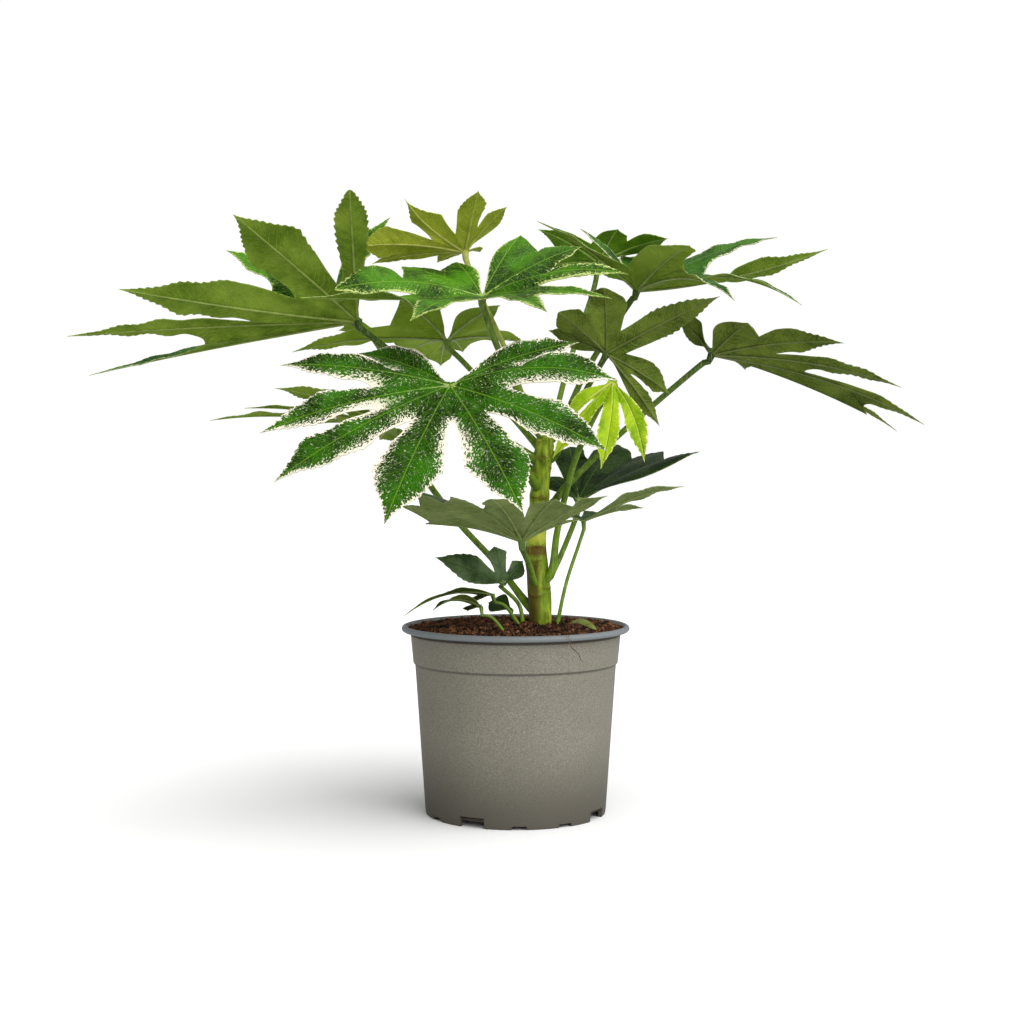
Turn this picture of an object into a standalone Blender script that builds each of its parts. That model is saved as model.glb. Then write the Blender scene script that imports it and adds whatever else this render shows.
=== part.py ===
"""Potted fatsia: a variegated broad-leaved shrub in a round nursery pot.

Each blade is a sheet lofted between the ribs that fan out from its hub, thickened to a thin solid,
and each leaf stalk is a tapered tube from the trunk or the soil to that hub. The tables below are in
millimetres and MM turns them into metres. Z is up, -Y is the side that faces the viewer, and the
origin is the middle of the pot's foot on the ground.
"""
import math
from dataclasses import dataclass

import bmesh
import bpy
import numpy as np

MM = 0.001

# Clearance kept between neighbouring pieces, and the room that a cutter leaves round a stem
CLEARANCE = 0.3
STEM_ROOM = 0.4

# Mesh handling: faces that meet at more than this are sharp, and points nearer than this join
SHARP_ANGLE = 40.0
WELD = 0.00002

# Pot
POT_HEIGHT = 157.0
RIM_RADIUS = 95.0
LIP_HEIGHT = 5.0
LIP_WIDTH = 4.4
LIP_GROOVE = 0.9
BAND_TOP_RADIUS = 87.5
BAND_FOOT_RADIUS = 85.3
BAND_DEPTH = 31.0
BODY_TOP_RADIUS = 83.8
FOOT_RADIUS = 75.0
WALL = 2.2
FLOOR_UNDERSIDE = 4.0
FLOOR_THICKNESS = 2.5
FOOT_RING_WIDTH = 3.0
CENTRE_FOOT_RADIUS = 18.0
POT_STEPS = 56
FOOT_NOTCHES = 12
NOTCH_TURN = 62.0
WIDE_NOTCH = (22.0, 8.5)
SMALL_NOTCH = (12.0, 3.0)
NOTCH_DEPTH = 12.0

# Soil
SOIL_EDGE_HEIGHT = 154.0
SOIL_MIDDLE_HEIGHT = 158.0
SOIL_STEPS = 40
MOUND_STEPS = 5
SOIL_EDGE_GAP = 3.2
SOIL_WALL_GAP = 0.7
ROOT_DEPTH = 10.0
HOLE_HEADROOM = 4.0

# Trunk: points up its middle, and its radius at each
TRUNK_FOOT = 118.0
TRUNK_POINTS = (
    (21.0, 2.0, TRUNK_FOOT), (21.0, 2.0, 150.0), (20.0, 2.0, 178.0), (18.5, 1.5, 200.0), (17.5, 1.0, 209.0),
    (17.0, 1.0, 218.0), (17.0, 1.0, 228.0), (17.0, 1.0, 235.0), (18.0, 0.5, 243.0), (19.5, 0.0, 256.0),
    (20.0, 0.0, 264.0), (20.5, 0.0, 272.0), (22.0, 0.0, 288.0), (23.0, 0.0, 297.0), (24.0, 0.0, 306.0),
    (25.0, 0.0, 318.0), (26.0, 0.0, 328.0),
)
TRUNK_RADII = (8.5, 9.2, 9.8, 9.4, 9.7, 8.7, 8.3, 9.1, 8.0, 7.8, 8.9, 7.7, 7.6, 8.6, 7.4, 6.6, 3.0)

# Blades and stalks
BLADE_THICKNESS = 0.9
WEB_ROWS = 3
FREE_ROWS = 6
RIB_RISE = (0.06, 0.07)
SINUS_SHARE = 0.40
EDGE_LIFT = 0.12
WEB_DIP = 0.06
STALK_POINTS = 11
STALK_SIDES_RESOLUTION = 2
TRUNK_SIDES_RESOLUTION = 4
STALK_LEAVING = (13.0, 9.0)
KNEE = 7.0
CURVE_STEPS = 24
OPEN_TURN = 75.0
OPEN_SHARE = 0.4
ROLL_SHARES = (0.1, 0.5)
SINGLE_SPLIT = 0.35
SINUS_FADE = 0.07
SEAT_MARGIN = 1.5
BASE_SWELL = 1.8
KNEE_SWELL = 1.15

GREEN = (0.045, 0.16, 0.035, 1.0)
OLIVE = (0.13, 0.17, 0.06, 1.0)
LIME = (0.30, 0.45, 0.06, 1.0)
STALK_GREEN = (0.16, 0.22, 0.05, 1.0)
TRUNK_GREEN = (0.30, 0.32, 0.09, 1.0)
POT_GREY = (0.22, 0.21, 0.17, 1.0)
SOIL_BROWN = (0.055, 0.028, 0.016, 1.0)


@dataclass(frozen=True)
class Lobe:
    """One finger of a blade.

    tip is where it ends, from the hub; half_width is its widest half; web is how far the skin joins
    it to the next lobe, as a share of the shorter of the two; roll turns its outer part about its rib;
    bend is how far its middle is off the straight line to its tip; belly is where it is widest, as a
    share of its length; point is how pointed its end is, less for a rounder one.
    """

    tip: tuple
    half_width: float
    web: float = 0.38
    roll: float = 0.0
    bend: tuple = (0.0, 0.0, 0.0)
    belly: float = 0.58
    point: float = 1.2


@dataclass(frozen=True)
class Leaf:
    """One leaf: lobes go round the hub anticlockwise, seen from above, and route is its stalk's way.

    A route starts on the trunk's middle line at the height root, or in the soil where root is None and
    the first point of the route is the place in the soil. Its ribs bow upwards by arch times the usual.
    """

    name: str
    hub: tuple
    lobes: tuple
    colour: tuple
    radius: float
    root: float | None
    route: tuple = ()
    facing: tuple | None = None
    arch: float = 1.0


LEAVES = (
    Leaf("front_variegated", (-49, -150, 351), (
        Lobe((-74, 65, 27), 18, 0.50), Lobe((-127, 5, 15), 15, 0.47), Lobe((-137, -35, -36), 18, 0.42),
        Lobe((-123, -65, -71), 21, 0.36), Lobe((-43, -90, -100), 27, 0.31), Lobe((54, -80, -93), 25, 0.33),
        Lobe((115, -45, -49), 21, 0.37), Lobe((125, 0, 3), 22, 0.50, bend=(0, 0, 9)), Lobe((98, 55, 35), 15),
    ), GREEN, 2.6, 268, ((-12, -60, 318), (-38, -122, 338))),
    Leaf("upper_middle", (-27, -45, 426), (
        Lobe((-22, 45, 32), 9, 0.94), Lobe((-66, 22, 26), 14, 0.97),
        Lobe((-113, -58, 0), 18, 0.50, -32, (0, 0, 4), 0.55, 0.7),
        Lobe((-132, -115, -11), 14, 0.62, 30, (0, 0, -12)),
        Lobe((-50, -140, -30), 13, 0.40), Lobe((50, -120, -22), 11, 0.50), Lobe((101, -60, -7), 9, 0.42),
        Lobe((116, -25, 15), 10, 0.50, 20, (0, 0, 7)), Lobe((101, 0, 21), 13, 0.62, 25, belly=0.45),
        Lobe((81, 20, 42), 22, 0.93), Lobe((31, 45, 54), 9),
    ), GREEN, 2.6, 314, ((-14, -38, 384),)),
    Leaf("big_left", (-128, -35, 407), (
        Lobe((-224, 25, -43), 12, 0.55, -55), Lobe((-229, -25, -14), 15, 0.45, -20),
        Lobe((-177, -75, 19), 25, 0.42, bend=(0, 0, -5), belly=0.50),
        Lobe((-84, -105, 72), 28, 0.30, belly=0.53), Lobe((3, -100, 91), 13, belly=0.72, point=0.6),
    ), OLIVE, 2.7, 290, ((-38, -16, 332), (-105, -28, 385)), (-0.2, 0.6, 0.75), 0.25),
    Leaf("rear_left", (-165, 40, 420), (
        Lobe((58, 5, 81), 13), Lobe((6, 70, 20), 20), Lobe((-78, -20, 50), 22, 0.75, belly=0.5),
        Lobe((-60, -15, 5), 20),
    ), GREEN, 2.0, 280, ((-52, 30, 335), (-102, 32, 372), (-130, 34, 406))),
    Leaf("young_top", (-42, 10, 468), (
        Lobe((12, 40, 4), 7), Lobe((-26, 50, -4), 7), Lobe((-80, 30, -7), 10, 0.60),
        Lobe((-87, -10, 3), 18, 0.42, 25, belly=0.62, point=0.8),
        Lobe((-49, -30, 40), 18, 0.32, bend=(-7, 0, -5), belly=0.42, point=2.2),
        Lobe((12, -50, 43), 12, 0.48), Lobe((35, -30, 33), 9),
    ), LIME, 2.2, 322, ((-8, 4, 385), (-30, 6, 432))),
    Leaf("left_rear", (-60, 80, 399), (
        Lobe((47, -60, 25), 16, 0.70), Lobe((70, 80, 1), 13, 0.55), Lobe((11, 110, -5), 18, 0.80),
        Lobe((-10, 110, -18), 18, 0.80), Lobe((-43, 100, -10), 20, 0.72), Lobe((-98, 30, 10), 26, 0.60, 30),
        Lobe((-133, -20, -12), 14, 0.85, 15), Lobe((-37, -60, 30), 20),
    ), OLIVE, 2.4, 302, ((-40, 60, 373),)),
    Leaf("low_left_rear", (-95, -20, 318), (
        Lobe((-25, 110, -7), 14, 0.45, 40), Lobe((-90, 80, 5), 14), Lobe((-159, 20, 9), 15),
        Lobe((-123, -30, 18), 13), Lobe((-94, -60, 33), 13, roll=20),
    ), OLIVE, 2.6, 165, ((-18, 24, 208), (-50, 22, 243), (-80, 2, 285)), (0.0, 0.05, 1.0)),
    Leaf("far_right", (163, 0, 382), (
        Lobe((24, -42, 23), 15, 0.97, belly=0.5), Lobe((100, -52, 6), 17, 0.46, -25, belly=0.38),
        Lobe((154, -15, -28), 10, 0.50, -15), Lobe((184, 30, -58), 10, 0.80, -20),
        Lobe((174, 90, -63), 9, 0.45), Lobe((40, 90, -9), 14), Lobe((-25, 30, 31), 12, roll=50),
    ), OLIVE, 2.4, 250, ((42, 0, 272), (85, 0, 314), (150, 0, 370))),
    Leaf("right_middle", (74, -30, 381), (
        Lobe((-47, 20, 20), 10, 0.60), Lobe((-40, -30, 31), 17, 0.76, belly=0.64, point=0.7),
        Lobe((-4, -35, 50), 18, 0.45, belly=0.66, point=0.6), Lobe((86, -50, 42), 12, 0.30, belly=0.48),
        Lobe((49, -20, -33), 12, 0.45, -20), Lobe((41, -30, -60), 7, roll=-20),
    ), OLIVE, 2.4, 292, ((52, -6, 340),)),
    Leaf("young_drooping", (77, -62, 357), (
        Lobe((-36, -10, -29), 10, 0.45), Lobe((-48, -13, -61), 9, 0.30),
        Lobe((-12, -53, -69), 9, 0.30, bend=(5, 0, 0)), Lobe((22, -48, -64), 8, bend=(6, 0, 3)),
    ), LIME, 2.6, 192, ((34, -8, 232), (41, -14, 265), (50, -24, 298), (66, -44, 335))),
    Leaf("upper_right", (102, 20, 437), (
        Lobe((-84, 5, 58), 14), Lobe((35, -95, 26), 25, 0.76),
        Lobe((67, -120, -19), 15, 0.45, bend=(2, 0, 10)), Lobe((125, -85, -20), 14, 0.50, bend=(4, 0, 14)),
        Lobe((157, -20, 32), 20, 0.42, -30, (0, 0, -18), 0.42), Lobe((127, 60, 51), 13),
        Lobe((11, 110, 35), 20, 0.60), Lobe((-46, 40, 56), 12),
    ), OLIVE, 2.5, 310, ((60, 16, 370), (95, 19, 425))),
    Leaf("upper_rear", (74, 110, 470), (
        Lobe((72, 70, -5), 20, 0.50), Lobe((34, 90, -12), 20, 0.50), Lobe((-50, 40, -1), 22, 0.70),
        Lobe((-54, -30, 25), 12, 0.60), Lobe((15, -40, 24), 18, 0.84), Lobe((59, -30, 17), 20),
    ), GREEN, 2.3, 300, ((44, 50, 370), (68, 98, 440))),
    Leaf("right_rear_low", (54, 45, 259), (
        Lobe((101, -25, 42), 18, 0.86, 10), Lobe((78, 62, 42), 22, 0.88, point=0.8),
        Lobe((40, 100, 48), 22, 0.88, point=0.8), Lobe((-5, 75, 46), 20, 0.86, point=0.8),
        Lobe((-25, 25, 20), 18, point=0.8),
    ), GREEN, 2.3, 186, ((36, 20, 208), (50, 36, 240))),
    Leaf("low_front", (5, -35, 229), (
        Lobe((-80, 30, 12), 17, 0.92, point=0.7), Lobe((-97, -10, 28), 20, 0.92, belly=0.66, point=0.7),
        Lobe((-82, -50, 41), 20, 0.92, belly=0.66, point=0.7), Lobe((-55, -90, 38), 18, 0.80, belly=0.62),
        Lobe((-24, -108, 37), 18, 0.56), Lobe((26, -80, 36), 17, 0.88), Lobe((68, -30, 37), 16, 0.74),
        Lobe((46, 10, 16), 11),
    ), OLIVE, 2.4, 186, ((12, -19, 206),)),
    Leaf("low_right", (57, 10, 243), (
        Lobe((79, -50, 30), 12, 0.50, -20), Lobe((53, 20, 10), 11, 0.38, -20), Lobe((16, 22, 6), 12),
        Lobe((-32, 12, 8), 12),
    ), OLIVE, 1.5, None, ((34, -2, 152), (42, 2, 190), (53, 8, 223))),
    Leaf("small_low", (-10, -12, 192), (
        Lobe((16, 14, 18), 8), Lobe((-8, 10, 30), 13, 0.42, point=0.8), Lobe((-56, -18, 23), 12, belly=0.5),
    ), GREEN, 1.7, None, ((6, -12, 152), (3, -12, 174))),
    Leaf("soil_long", (-19, -32, 185), (
        Lobe((-19, 37, -12), 9), Lobe((-71, -23, -16), 11, bend=(0, 0, 7), belly=0.45),
    ), GREEN, 1.4, None, ((4, -21, 156), (-8, -26, 174))),
    Leaf("soil_left", (-28, -46, 176), (
        Lobe((-12, 26, -6), 8), Lobe((-38, -24, -1), 12, bend=(0, 0, 7), belly=0.5),
    ), GREEN, 1.3, None, ((-10, -48, 156), (-19, -47, 167))),
    Leaf("soil_small", (-3, 2, 169), (Lobe((-20, 10, 5), 12),), GREEN, 1.1, None, ((2, 0, 156),),
         (0.1, -0.6, 0.8)),
)

GRASS_BLADE = ((42, 30, 161), (50, 12, 162), (59, -10, 160.5), (69, -30, 158.5))
ROOTLET = ((37, -80, 158.5), (41, -86.5, 158.6), (43, -90.5, 149), (48.5, -88, 143.5), (50.5, -82, 139),
           (53, -76, 134.5))

GRASS_BLADE = ((42, 30, 161), (50, 12, 162), (59, -10, 160.5), (69, -30, 158.5))
ROOTLET = ((37, -80, 158.5), (41, -86.5, 158.6), (43, -90.5, 149), (48.5, -88, 143.5), (50.5, -82, 139),
           (53, -76, 134.5))


def unit(vector: np.ndarray) -> np.ndarray:
    """Return the vector at length one."""
    return vector / np.linalg.norm(vector)


def turned(vector: np.ndarray, axis: np.ndarray, degrees: float) -> np.ndarray:
    """Return the vector turned about a unit axis."""
    angle = math.radians(degrees)
    along = axis * np.dot(axis, vector) * (1 - math.cos(angle))
    return vector * math.cos(angle) + np.cross(axis, vector) * math.sin(angle) + along


def fullness(share: float, belly: float, point: float) -> float:
    """Return a lobe's half width at a share of its length, as a part of its widest."""
    skew = math.log(0.5) / math.log(belly)
    return max(0.0, math.sin(math.pi * min(max(share, 0.0), 1.0) ** skew)) ** point


class Blade:
    """The sheet of one leaf, in millimetres from its hub."""

    def __init__(self, leaf: Leaf):
        self.leaf = leaf
        self.tips = [np.array(lobe.tip, float) for lobe in leaf.lobes]
        self.lengths = [float(np.linalg.norm(tip)) for tip in self.tips]
        if leaf.facing is None:
            pairs = zip(self.tips, self.tips[1:])
            self.normal = unit(sum(np.cross(unit(a), unit(b)) for a, b in pairs))
        else:
            self.normal = unit(np.array(leaf.facing, float))
        self.seat = leaf.radius * SEAT_MARGIN
        spread = sum(self.turn_between(k, k + 1) for k in range(len(self.tips) - 1))
        self.open_turn = min(OPEN_TURN, OPEN_SHARE * (360.0 - spread))

    def turn_between(self, first: int, second: int) -> float:
        """Return the turn about the hub's axis from one lobe to another, in degrees."""
        tips = (self.tips[first], self.tips[second])
        flat = [unit(tip - np.dot(tip, self.normal) * self.normal) for tip in tips]
        cross = np.dot(np.cross(flat[0], flat[1]), self.normal)
        return math.degrees(math.atan2(cross, np.dot(flat[0], flat[1]))) % 360.0

    def rib(self, lobe: int, share: float) -> np.ndarray:
        """Return the rib's point at a share of the lobe's length."""
        t = min(max(share, 0.0), 1.0)
        tip, lift = self.tips[lobe], self.leaf.arch * self.lengths[lobe] * self.normal
        bend = np.array(self.leaf.lobes[lobe].bend)
        near, far = tip / 3 + RIB_RISE[0] * lift + bend, tip * 2 / 3 + RIB_RISE[1] * lift + bend
        return 3 * (1 - t) ** 2 * t * near + 3 * (1 - t) * t ** 2 * far + t ** 3 * tip

    def across(self, lobe: int, share: float) -> tuple[np.ndarray, np.ndarray]:
        """Return the directions across the lobe, towards the next one, and out of its top side."""
        step = 0.01
        along = unit(self.rib(lobe, share + step) - self.rib(lobe, share - step))
        turn = self.leaf.lobes[lobe].roll * float(np.interp(share, ROLL_SHARES, (0.0, 1.0)))
        up = turned(self.normal, unit(self.tips[lobe]), turn)
        up = unit(up - np.dot(up, along) * along)
        return np.cross(up, along), up

    def margin(self, lobe: int, beside: int | None, side: int, share: float) -> np.ndarray:
        """Return the lobe's free edge, kept clear of the lobe beside it."""
        shape = self.leaf.lobes[lobe]
        width = shape.half_width * fullness(share, shape.belly, shape.point)
        if beside is not None:
            other = self.rib(beside, share * self.lengths[lobe] / self.lengths[beside])
            width = min(width, SINUS_SHARE * float(np.linalg.norm(self.rib(lobe, share) - other)))
        out, up = self.across(lobe, share)
        return self.rib(lobe, share) + side * out * width + up * EDGE_LIFT * width

    def reach(self, first: int) -> float:
        """Return how far from the hub the skin joins a lobe to the next one."""
        return self.leaf.lobes[first].web * min(self.lengths[first], self.lengths[first + 1])

    def web(self, first: int, radius: float) -> np.ndarray:
        """Return the web's point between a lobe and the next one at a distance from the hub."""
        middle = sum(self.rib(k, radius / self.lengths[k]) for k in (first, first + 1)) / 2
        dip = WEB_DIP * self.reach(first) * math.sin(math.pi / 2 * min(radius / self.reach(first), 1.0))
        return middle - self.normal * dip

    def on_seat(self, point: np.ndarray) -> np.ndarray:
        """Return the point brought onto the flat ring that the stalk meets."""
        return unit(point - np.dot(point, self.normal) * self.normal) * self.seat


def sheet(leaf: Leaf) -> tuple[list, list]:
    """Loft the leaf's sheet: its points, and its triangles facing up."""
    blade = Blade(leaf)
    hub = np.array(leaf.hub, float)
    points, faces = [hub], []
    count = len(leaf.lobes)

    def add(point):
        points.append(hub + point)
        return len(points) - 1

    def rows(start, end):
        return [start + (end - start) * k / (WEB_ROWS - 1) for k in range(WEB_ROWS)]

    webs = []
    for first in range(count - 1):
        line = [blade.web(first, radius) for radius in rows(blade.seat, blade.reach(first))]
        line[0] = blade.on_seat(line[0])
        webs.append([add(point) for point in line])

    for lobe in range(count):
        length = blade.lengths[lobe]
        reaches = [blade.reach(k) for k in (lobe - 1, lobe) if 0 <= k < count - 1]
        split = sum(reaches) / len(reaches) / length if reaches else SINGLE_SPLIT
        shares = rows(blade.seat / length, split)
        shares += [split + (1 - split) * k / FREE_ROWS for k in range(1, FREE_ROWS + 1)]
        rib = [add(blade.on_seat(blade.rib(lobe, shares[0])))]
        rib += [add(blade.rib(lobe, share)) for share in shares[1:]]
        for side in (1, -1):
            beside = lobe + side
            web = lobe if side > 0 else lobe - 1
            if 0 <= beside < count:
                edge = list(webs[web])
                jump = points[edge[-1]] - hub - blade.margin(lobe, beside, side, split)
                for share in shares[WEB_ROWS:-1]:
                    fade = math.exp(-(share - split) / SINUS_FADE)
                    edge.append(add(blade.margin(lobe, beside, side, share) + jump * fade))
            else:
                opposite = beside % count if count > 1 else None
                edge = [add(blade.on_seat(turned(blade.tips[lobe], blade.normal, side * blade.open_turn)))]
                edge += [add(blade.margin(lobe, opposite, side, share)) for share in shares[1:-1]]
            strip = [(0, rib[0], edge[0])]
            for k in range(len(edge) - 1):
                strip += [(rib[k], rib[k + 1], edge[k]), (edge[k], rib[k + 1], edge[k + 1])]
            strip.append((rib[-2], rib[-1], edge[-1]))
            faces += strip if side > 0 else [(a, c, b) for a, b, c in strip]
    return points, faces


def material(name: str, colour: tuple, roughness: float) -> bpy.types.Material:
    """Make a plain Principled material."""
    made = bpy.data.materials.new(name)
    made.use_nodes = True
    shader = made.node_tree.nodes["Principled BSDF"]
    shader.inputs["Base Color"].default_value = colour
    shader.inputs["Roughness"].default_value = roughness
    shader.inputs["Metallic"].default_value = 0.0
    return made


def place(name: str, mesh: bpy.types.Mesh, home: bpy.types.Collection) -> bpy.types.Object:
    """Put a mesh in the scene as a named object."""
    mesh.name = name
    made = bpy.data.objects.new(name, mesh)
    home.objects.link(made)
    return made


def finish(made: bpy.types.Object, colour: tuple, roughness: float) -> None:
    """Give an object its material and smooth shading."""
    made.data.materials.clear()
    made.data.materials.append(material(made.name, colour, roughness))
    made.data.shade_smooth()
    made.data.set_sharp_from_angle(angle=math.radians(SHARP_ANGLE))


def hide_cutter(made: bpy.types.Object) -> bpy.types.Object:
    """Mark an object as a cutter only."""
    made.hide_render = True
    made.display_type = "WIRE"
    return made


def tube(name: str, points: list, radii: list, home: bpy.types.Collection,
         resolution: int = STALK_SIDES_RESOLUTION) -> bpy.types.Object:
    """Make a closed tapered tube along points in millimetres."""
    curve = bpy.data.curves.new(name + "_line", "CURVE")
    curve.dimensions = "3D"
    curve.bevel_depth = MM
    curve.bevel_resolution = resolution
    curve.use_fill_caps = True
    spline = curve.splines.new("POLY")
    spline.points.add(len(points) - 1)
    for knot, point, radius in zip(spline.points, points, radii):
        knot.co = (*[float(c) * MM for c in point], 1.0)
        knot.radius = radius
    line = bpy.data.objects.new(name + "_line", curve)
    bpy.context.scene.collection.objects.link(line)
    bpy.context.view_layer.update()
    graph = bpy.context.evaluated_depsgraph_get()
    mesh = bpy.data.meshes.new_from_object(line.evaluated_get(graph))
    bpy.data.objects.remove(line)
    work = bmesh.new()
    work.from_mesh(mesh)
    bmesh.ops.remove_doubles(work, verts=work.verts, dist=WELD)
    bmesh.ops.recalc_face_normals(work, faces=work.faces)
    work.to_mesh(mesh)
    work.free()
    return place(name, mesh, home)


def cut(target: bpy.types.Object, cutter: bpy.types.Object) -> None:
    """Take the cutter's shape out of the target with an exact Boolean."""
    modifier = target.modifiers.new("Cut by " + cutter.name, "BOOLEAN")
    modifier.operation = "DIFFERENCE"
    modifier.solver = "EXACT"
    modifier.object = cutter


def smooth_way(knots: list, count: int) -> list:
    """Return evenly spaced points on a smooth curve through the knots."""
    knots = [np.array(knot, float) for knot in knots]
    knots = [2 * knots[0] - knots[1], *knots, 2 * knots[-1] - knots[-2]]
    fine = []
    for a, b, c, d in zip(knots, knots[1:], knots[2:], knots[3:]):
        for t in np.linspace(0.0, 1.0, CURVE_STEPS, endpoint=False):
            linear, square, cube = c - a, 2 * a - 5 * b + 4 * c - d, 3 * b - a - 3 * c + d
            fine.append(b + 0.5 * (linear * t + square * t ** 2 + cube * t ** 3))
    fine.append(knots[-2])
    fine = np.array(fine)
    steps = np.concatenate([[0.0], np.cumsum(np.linalg.norm(np.diff(fine, axis=0), axis=1))])
    marks = np.linspace(0.0, steps[-1], count)
    return list(np.stack([np.interp(marks, steps, fine[:, axis]) for axis in range(3)], axis=1))


def trunk_middle(height: float) -> np.ndarray:
    """Return the trunk's middle line at a height."""
    points = np.array(TRUNK_POINTS)
    return np.array([np.interp(height, points[:, 2], points[:, axis]) for axis in range(3)])


def stalk_way(leaf: Leaf) -> tuple[list, list]:
    """Return a stalk's points and radii, from its root to the underside of the blade."""
    blade = Blade(leaf)
    hub = np.array(leaf.hub, float)
    seat = hub - blade.normal * (BLADE_THICKNESS / 2 + CLEARANCE)
    knee = hub - blade.normal * KNEE
    route = [np.array(point, float) for point in leaf.route]
    if leaf.root is None:
        soil = route[0]
        knots = [soil - (0, 0, ROOT_DEPTH), soil, *route[1:], knee]
    else:
        start = trunk_middle(leaf.root)
        ahead = (route[0] if route else hub) - start
        level = unit(ahead * (1, 1, 0))
        leaving = start + level * STALK_LEAVING[0] + np.array((0, 0, STALK_LEAVING[1]))
        knots = [start, leaving, *route, knee]
    points = smooth_way(knots, STALK_POINTS) + [seat]
    swell = np.interp(range(len(points)), (0, 1, 2, len(points) - 2, len(points) - 1),
                      (BASE_SWELL, BASE_SWELL, 1.0, 1.0, KNEE_SWELL))
    return points, [leaf.radius * factor for factor in swell]


def pot_profile() -> list:
    """Return the pot's outline as radius and height, down its outside and up its inside."""
    lip_foot = POT_HEIGHT - LIP_HEIGHT
    band_foot = POT_HEIGHT - BAND_DEPTH
    floor = FLOOR_UNDERSIDE + FLOOR_THICKNESS
    return [
        (RIM_RADIUS - 3.4, POT_HEIGHT), (RIM_RADIUS - 1.0, POT_HEIGHT - 0.6), (RIM_RADIUS, POT_HEIGHT - 2.0),
        (RIM_RADIUS, lip_foot + 1.2), (RIM_RADIUS - 1.2, lip_foot),
        (BAND_TOP_RADIUS - LIP_GROOVE, lip_foot - 0.6), (BAND_TOP_RADIUS - LIP_GROOVE, lip_foot - 2.4),
        (BAND_TOP_RADIUS, lip_foot - 3.2), (BAND_FOOT_RADIUS, band_foot), (BODY_TOP_RADIUS, band_foot - 1.5),
        (FOOT_RADIUS + 0.6, 4.0), (FOOT_RADIUS, 0.0), (FOOT_RADIUS - FOOT_RING_WIDTH, 0.0),
        (FOOT_RADIUS - FOOT_RING_WIDTH, FLOOR_UNDERSIDE), (CENTRE_FOOT_RADIUS, FLOOR_UNDERSIDE),
        (CENTRE_FOOT_RADIUS, 0.0), (0.0, 0.0), (0.0, floor), (FOOT_RADIUS - WALL, floor),
        (BODY_TOP_RADIUS - WALL, band_foot), (BAND_TOP_RADIUS - LIP_GROOVE - WALL, lip_foot + 0.2),
        (RIM_RADIUS - LIP_WIDTH - 1.0, lip_foot + 2.0), (RIM_RADIUS - LIP_WIDTH, POT_HEIGHT - 1.4),
    ]


def turned_solid(name: str, profile: list, steps: int, home: bpy.types.Collection,
                 loop: bool) -> bpy.types.Object:
    """Turn an outline about Z with a Screw modifier."""
    mesh = bpy.data.meshes.new(name)
    points = [(radius * MM, 0.0, height * MM) for radius, height in profile]
    edges = [(k, k + 1) for k in range(len(points) - 1)]
    if loop:
        edges.append((len(points) - 1, 0))
    mesh.from_pydata(points, edges, [])
    made = place(name, mesh, home)
    screw = made.modifiers.new("Turn", "SCREW")
    screw.steps = steps
    screw.render_steps = steps
    screw.use_merge_vertices = True
    screw.merge_threshold = WELD
    return made


def notch_cutter(turn: float, size: tuple, home: bpy.types.Collection) -> bpy.types.Object:
    """Make one cutter for a drainage notch through the foot's ring."""
    width, height = size
    bpy.ops.mesh.primitive_cube_add(size=1.0)
    made = bpy.context.object
    made.name = f"notch_{round(turn)}"
    for old in list(made.users_collection):
        old.objects.unlink(made)
    home.objects.link(made)
    angle = math.radians(turn - 90.0)
    made.scale = (NOTCH_DEPTH * MM, width * MM, 2 * height * MM)
    made.rotation_euler = (0.0, 0.0, angle)
    made.location = (FOOT_RADIUS * MM * math.cos(angle), FOOT_RADIUS * MM * math.sin(angle), 0.0)
    return hide_cutter(made)


def build_pot(home: bpy.types.Collection, cutters: bpy.types.Collection) -> None:
    """Make the pot with its notched foot."""
    pot = turned_solid("pot", pot_profile(), POT_STEPS, home, loop=True)
    for k in range(FOOT_NOTCHES):
        size = WIDE_NOTCH if k % 3 == 0 else SMALL_NOTCH
        cut(pot, notch_cutter(NOTCH_TURN + 90.0 + k * 360.0 / FOOT_NOTCHES, size, cutters))
    finish(pot, POT_GREY, 0.55)


def build_soil(home: bpy.types.Collection, stems: list) -> None:
    """Make the mounded soil with a plain hole for each stem that stands in it."""
    floor = FLOOR_UNDERSIDE + FLOOR_THICKNESS + CLEARANCE
    edge_radius = RIM_RADIUS - LIP_WIDTH - SOIL_EDGE_GAP
    inset = WALL + SOIL_WALL_GAP
    shares = [k / MOUND_STEPS for k in range(MOUND_STEPS + 1)]
    rise = SOIL_MIDDLE_HEIGHT - SOIL_EDGE_HEIGHT
    profile = [(edge_radius * share, SOIL_EDGE_HEIGHT + rise * math.cos(math.pi / 2 * share))
               for share in shares]
    profile += [
        (BAND_TOP_RADIUS - LIP_GROOVE - inset, POT_HEIGHT - LIP_HEIGHT + 0.6),
        (BODY_TOP_RADIUS - inset, POT_HEIGHT - BAND_DEPTH - 1.5), (FOOT_RADIUS - inset, floor), (0.0, floor),
    ]
    soil = turned_solid("soil", profile, SOIL_STEPS, home, loop=False)
    for stem in stems:
        cut(soil, stem)
    finish(soil, SOIL_BROWN, 0.95)


def build_trunk(home: bpy.types.Collection, cutters: bpy.types.Collection) -> bpy.types.Object:
    """Make the trunk, and return the slightly larger copy that cuts what meets it."""
    trunk = tube("trunk", list(TRUNK_POINTS), list(TRUNK_RADII), home, resolution=TRUNK_SIDES_RESOLUTION)
    finish(trunk, TRUNK_GREEN, 0.6)
    foot, top = TRUNK_POINTS[0], TRUNK_POINTS[-1]
    ends = [(*foot[:2], foot[2] - CLEARANCE), *TRUNK_POINTS[1:-1], (*top[:2], top[2] + CLEARANCE)]
    wider = [radius + STEM_ROOM for radius in TRUNK_RADII]
    return hide_cutter(tube("trunk_room", ends, wider, cutters, resolution=TRUNK_SIDES_RESOLUTION))


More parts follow.
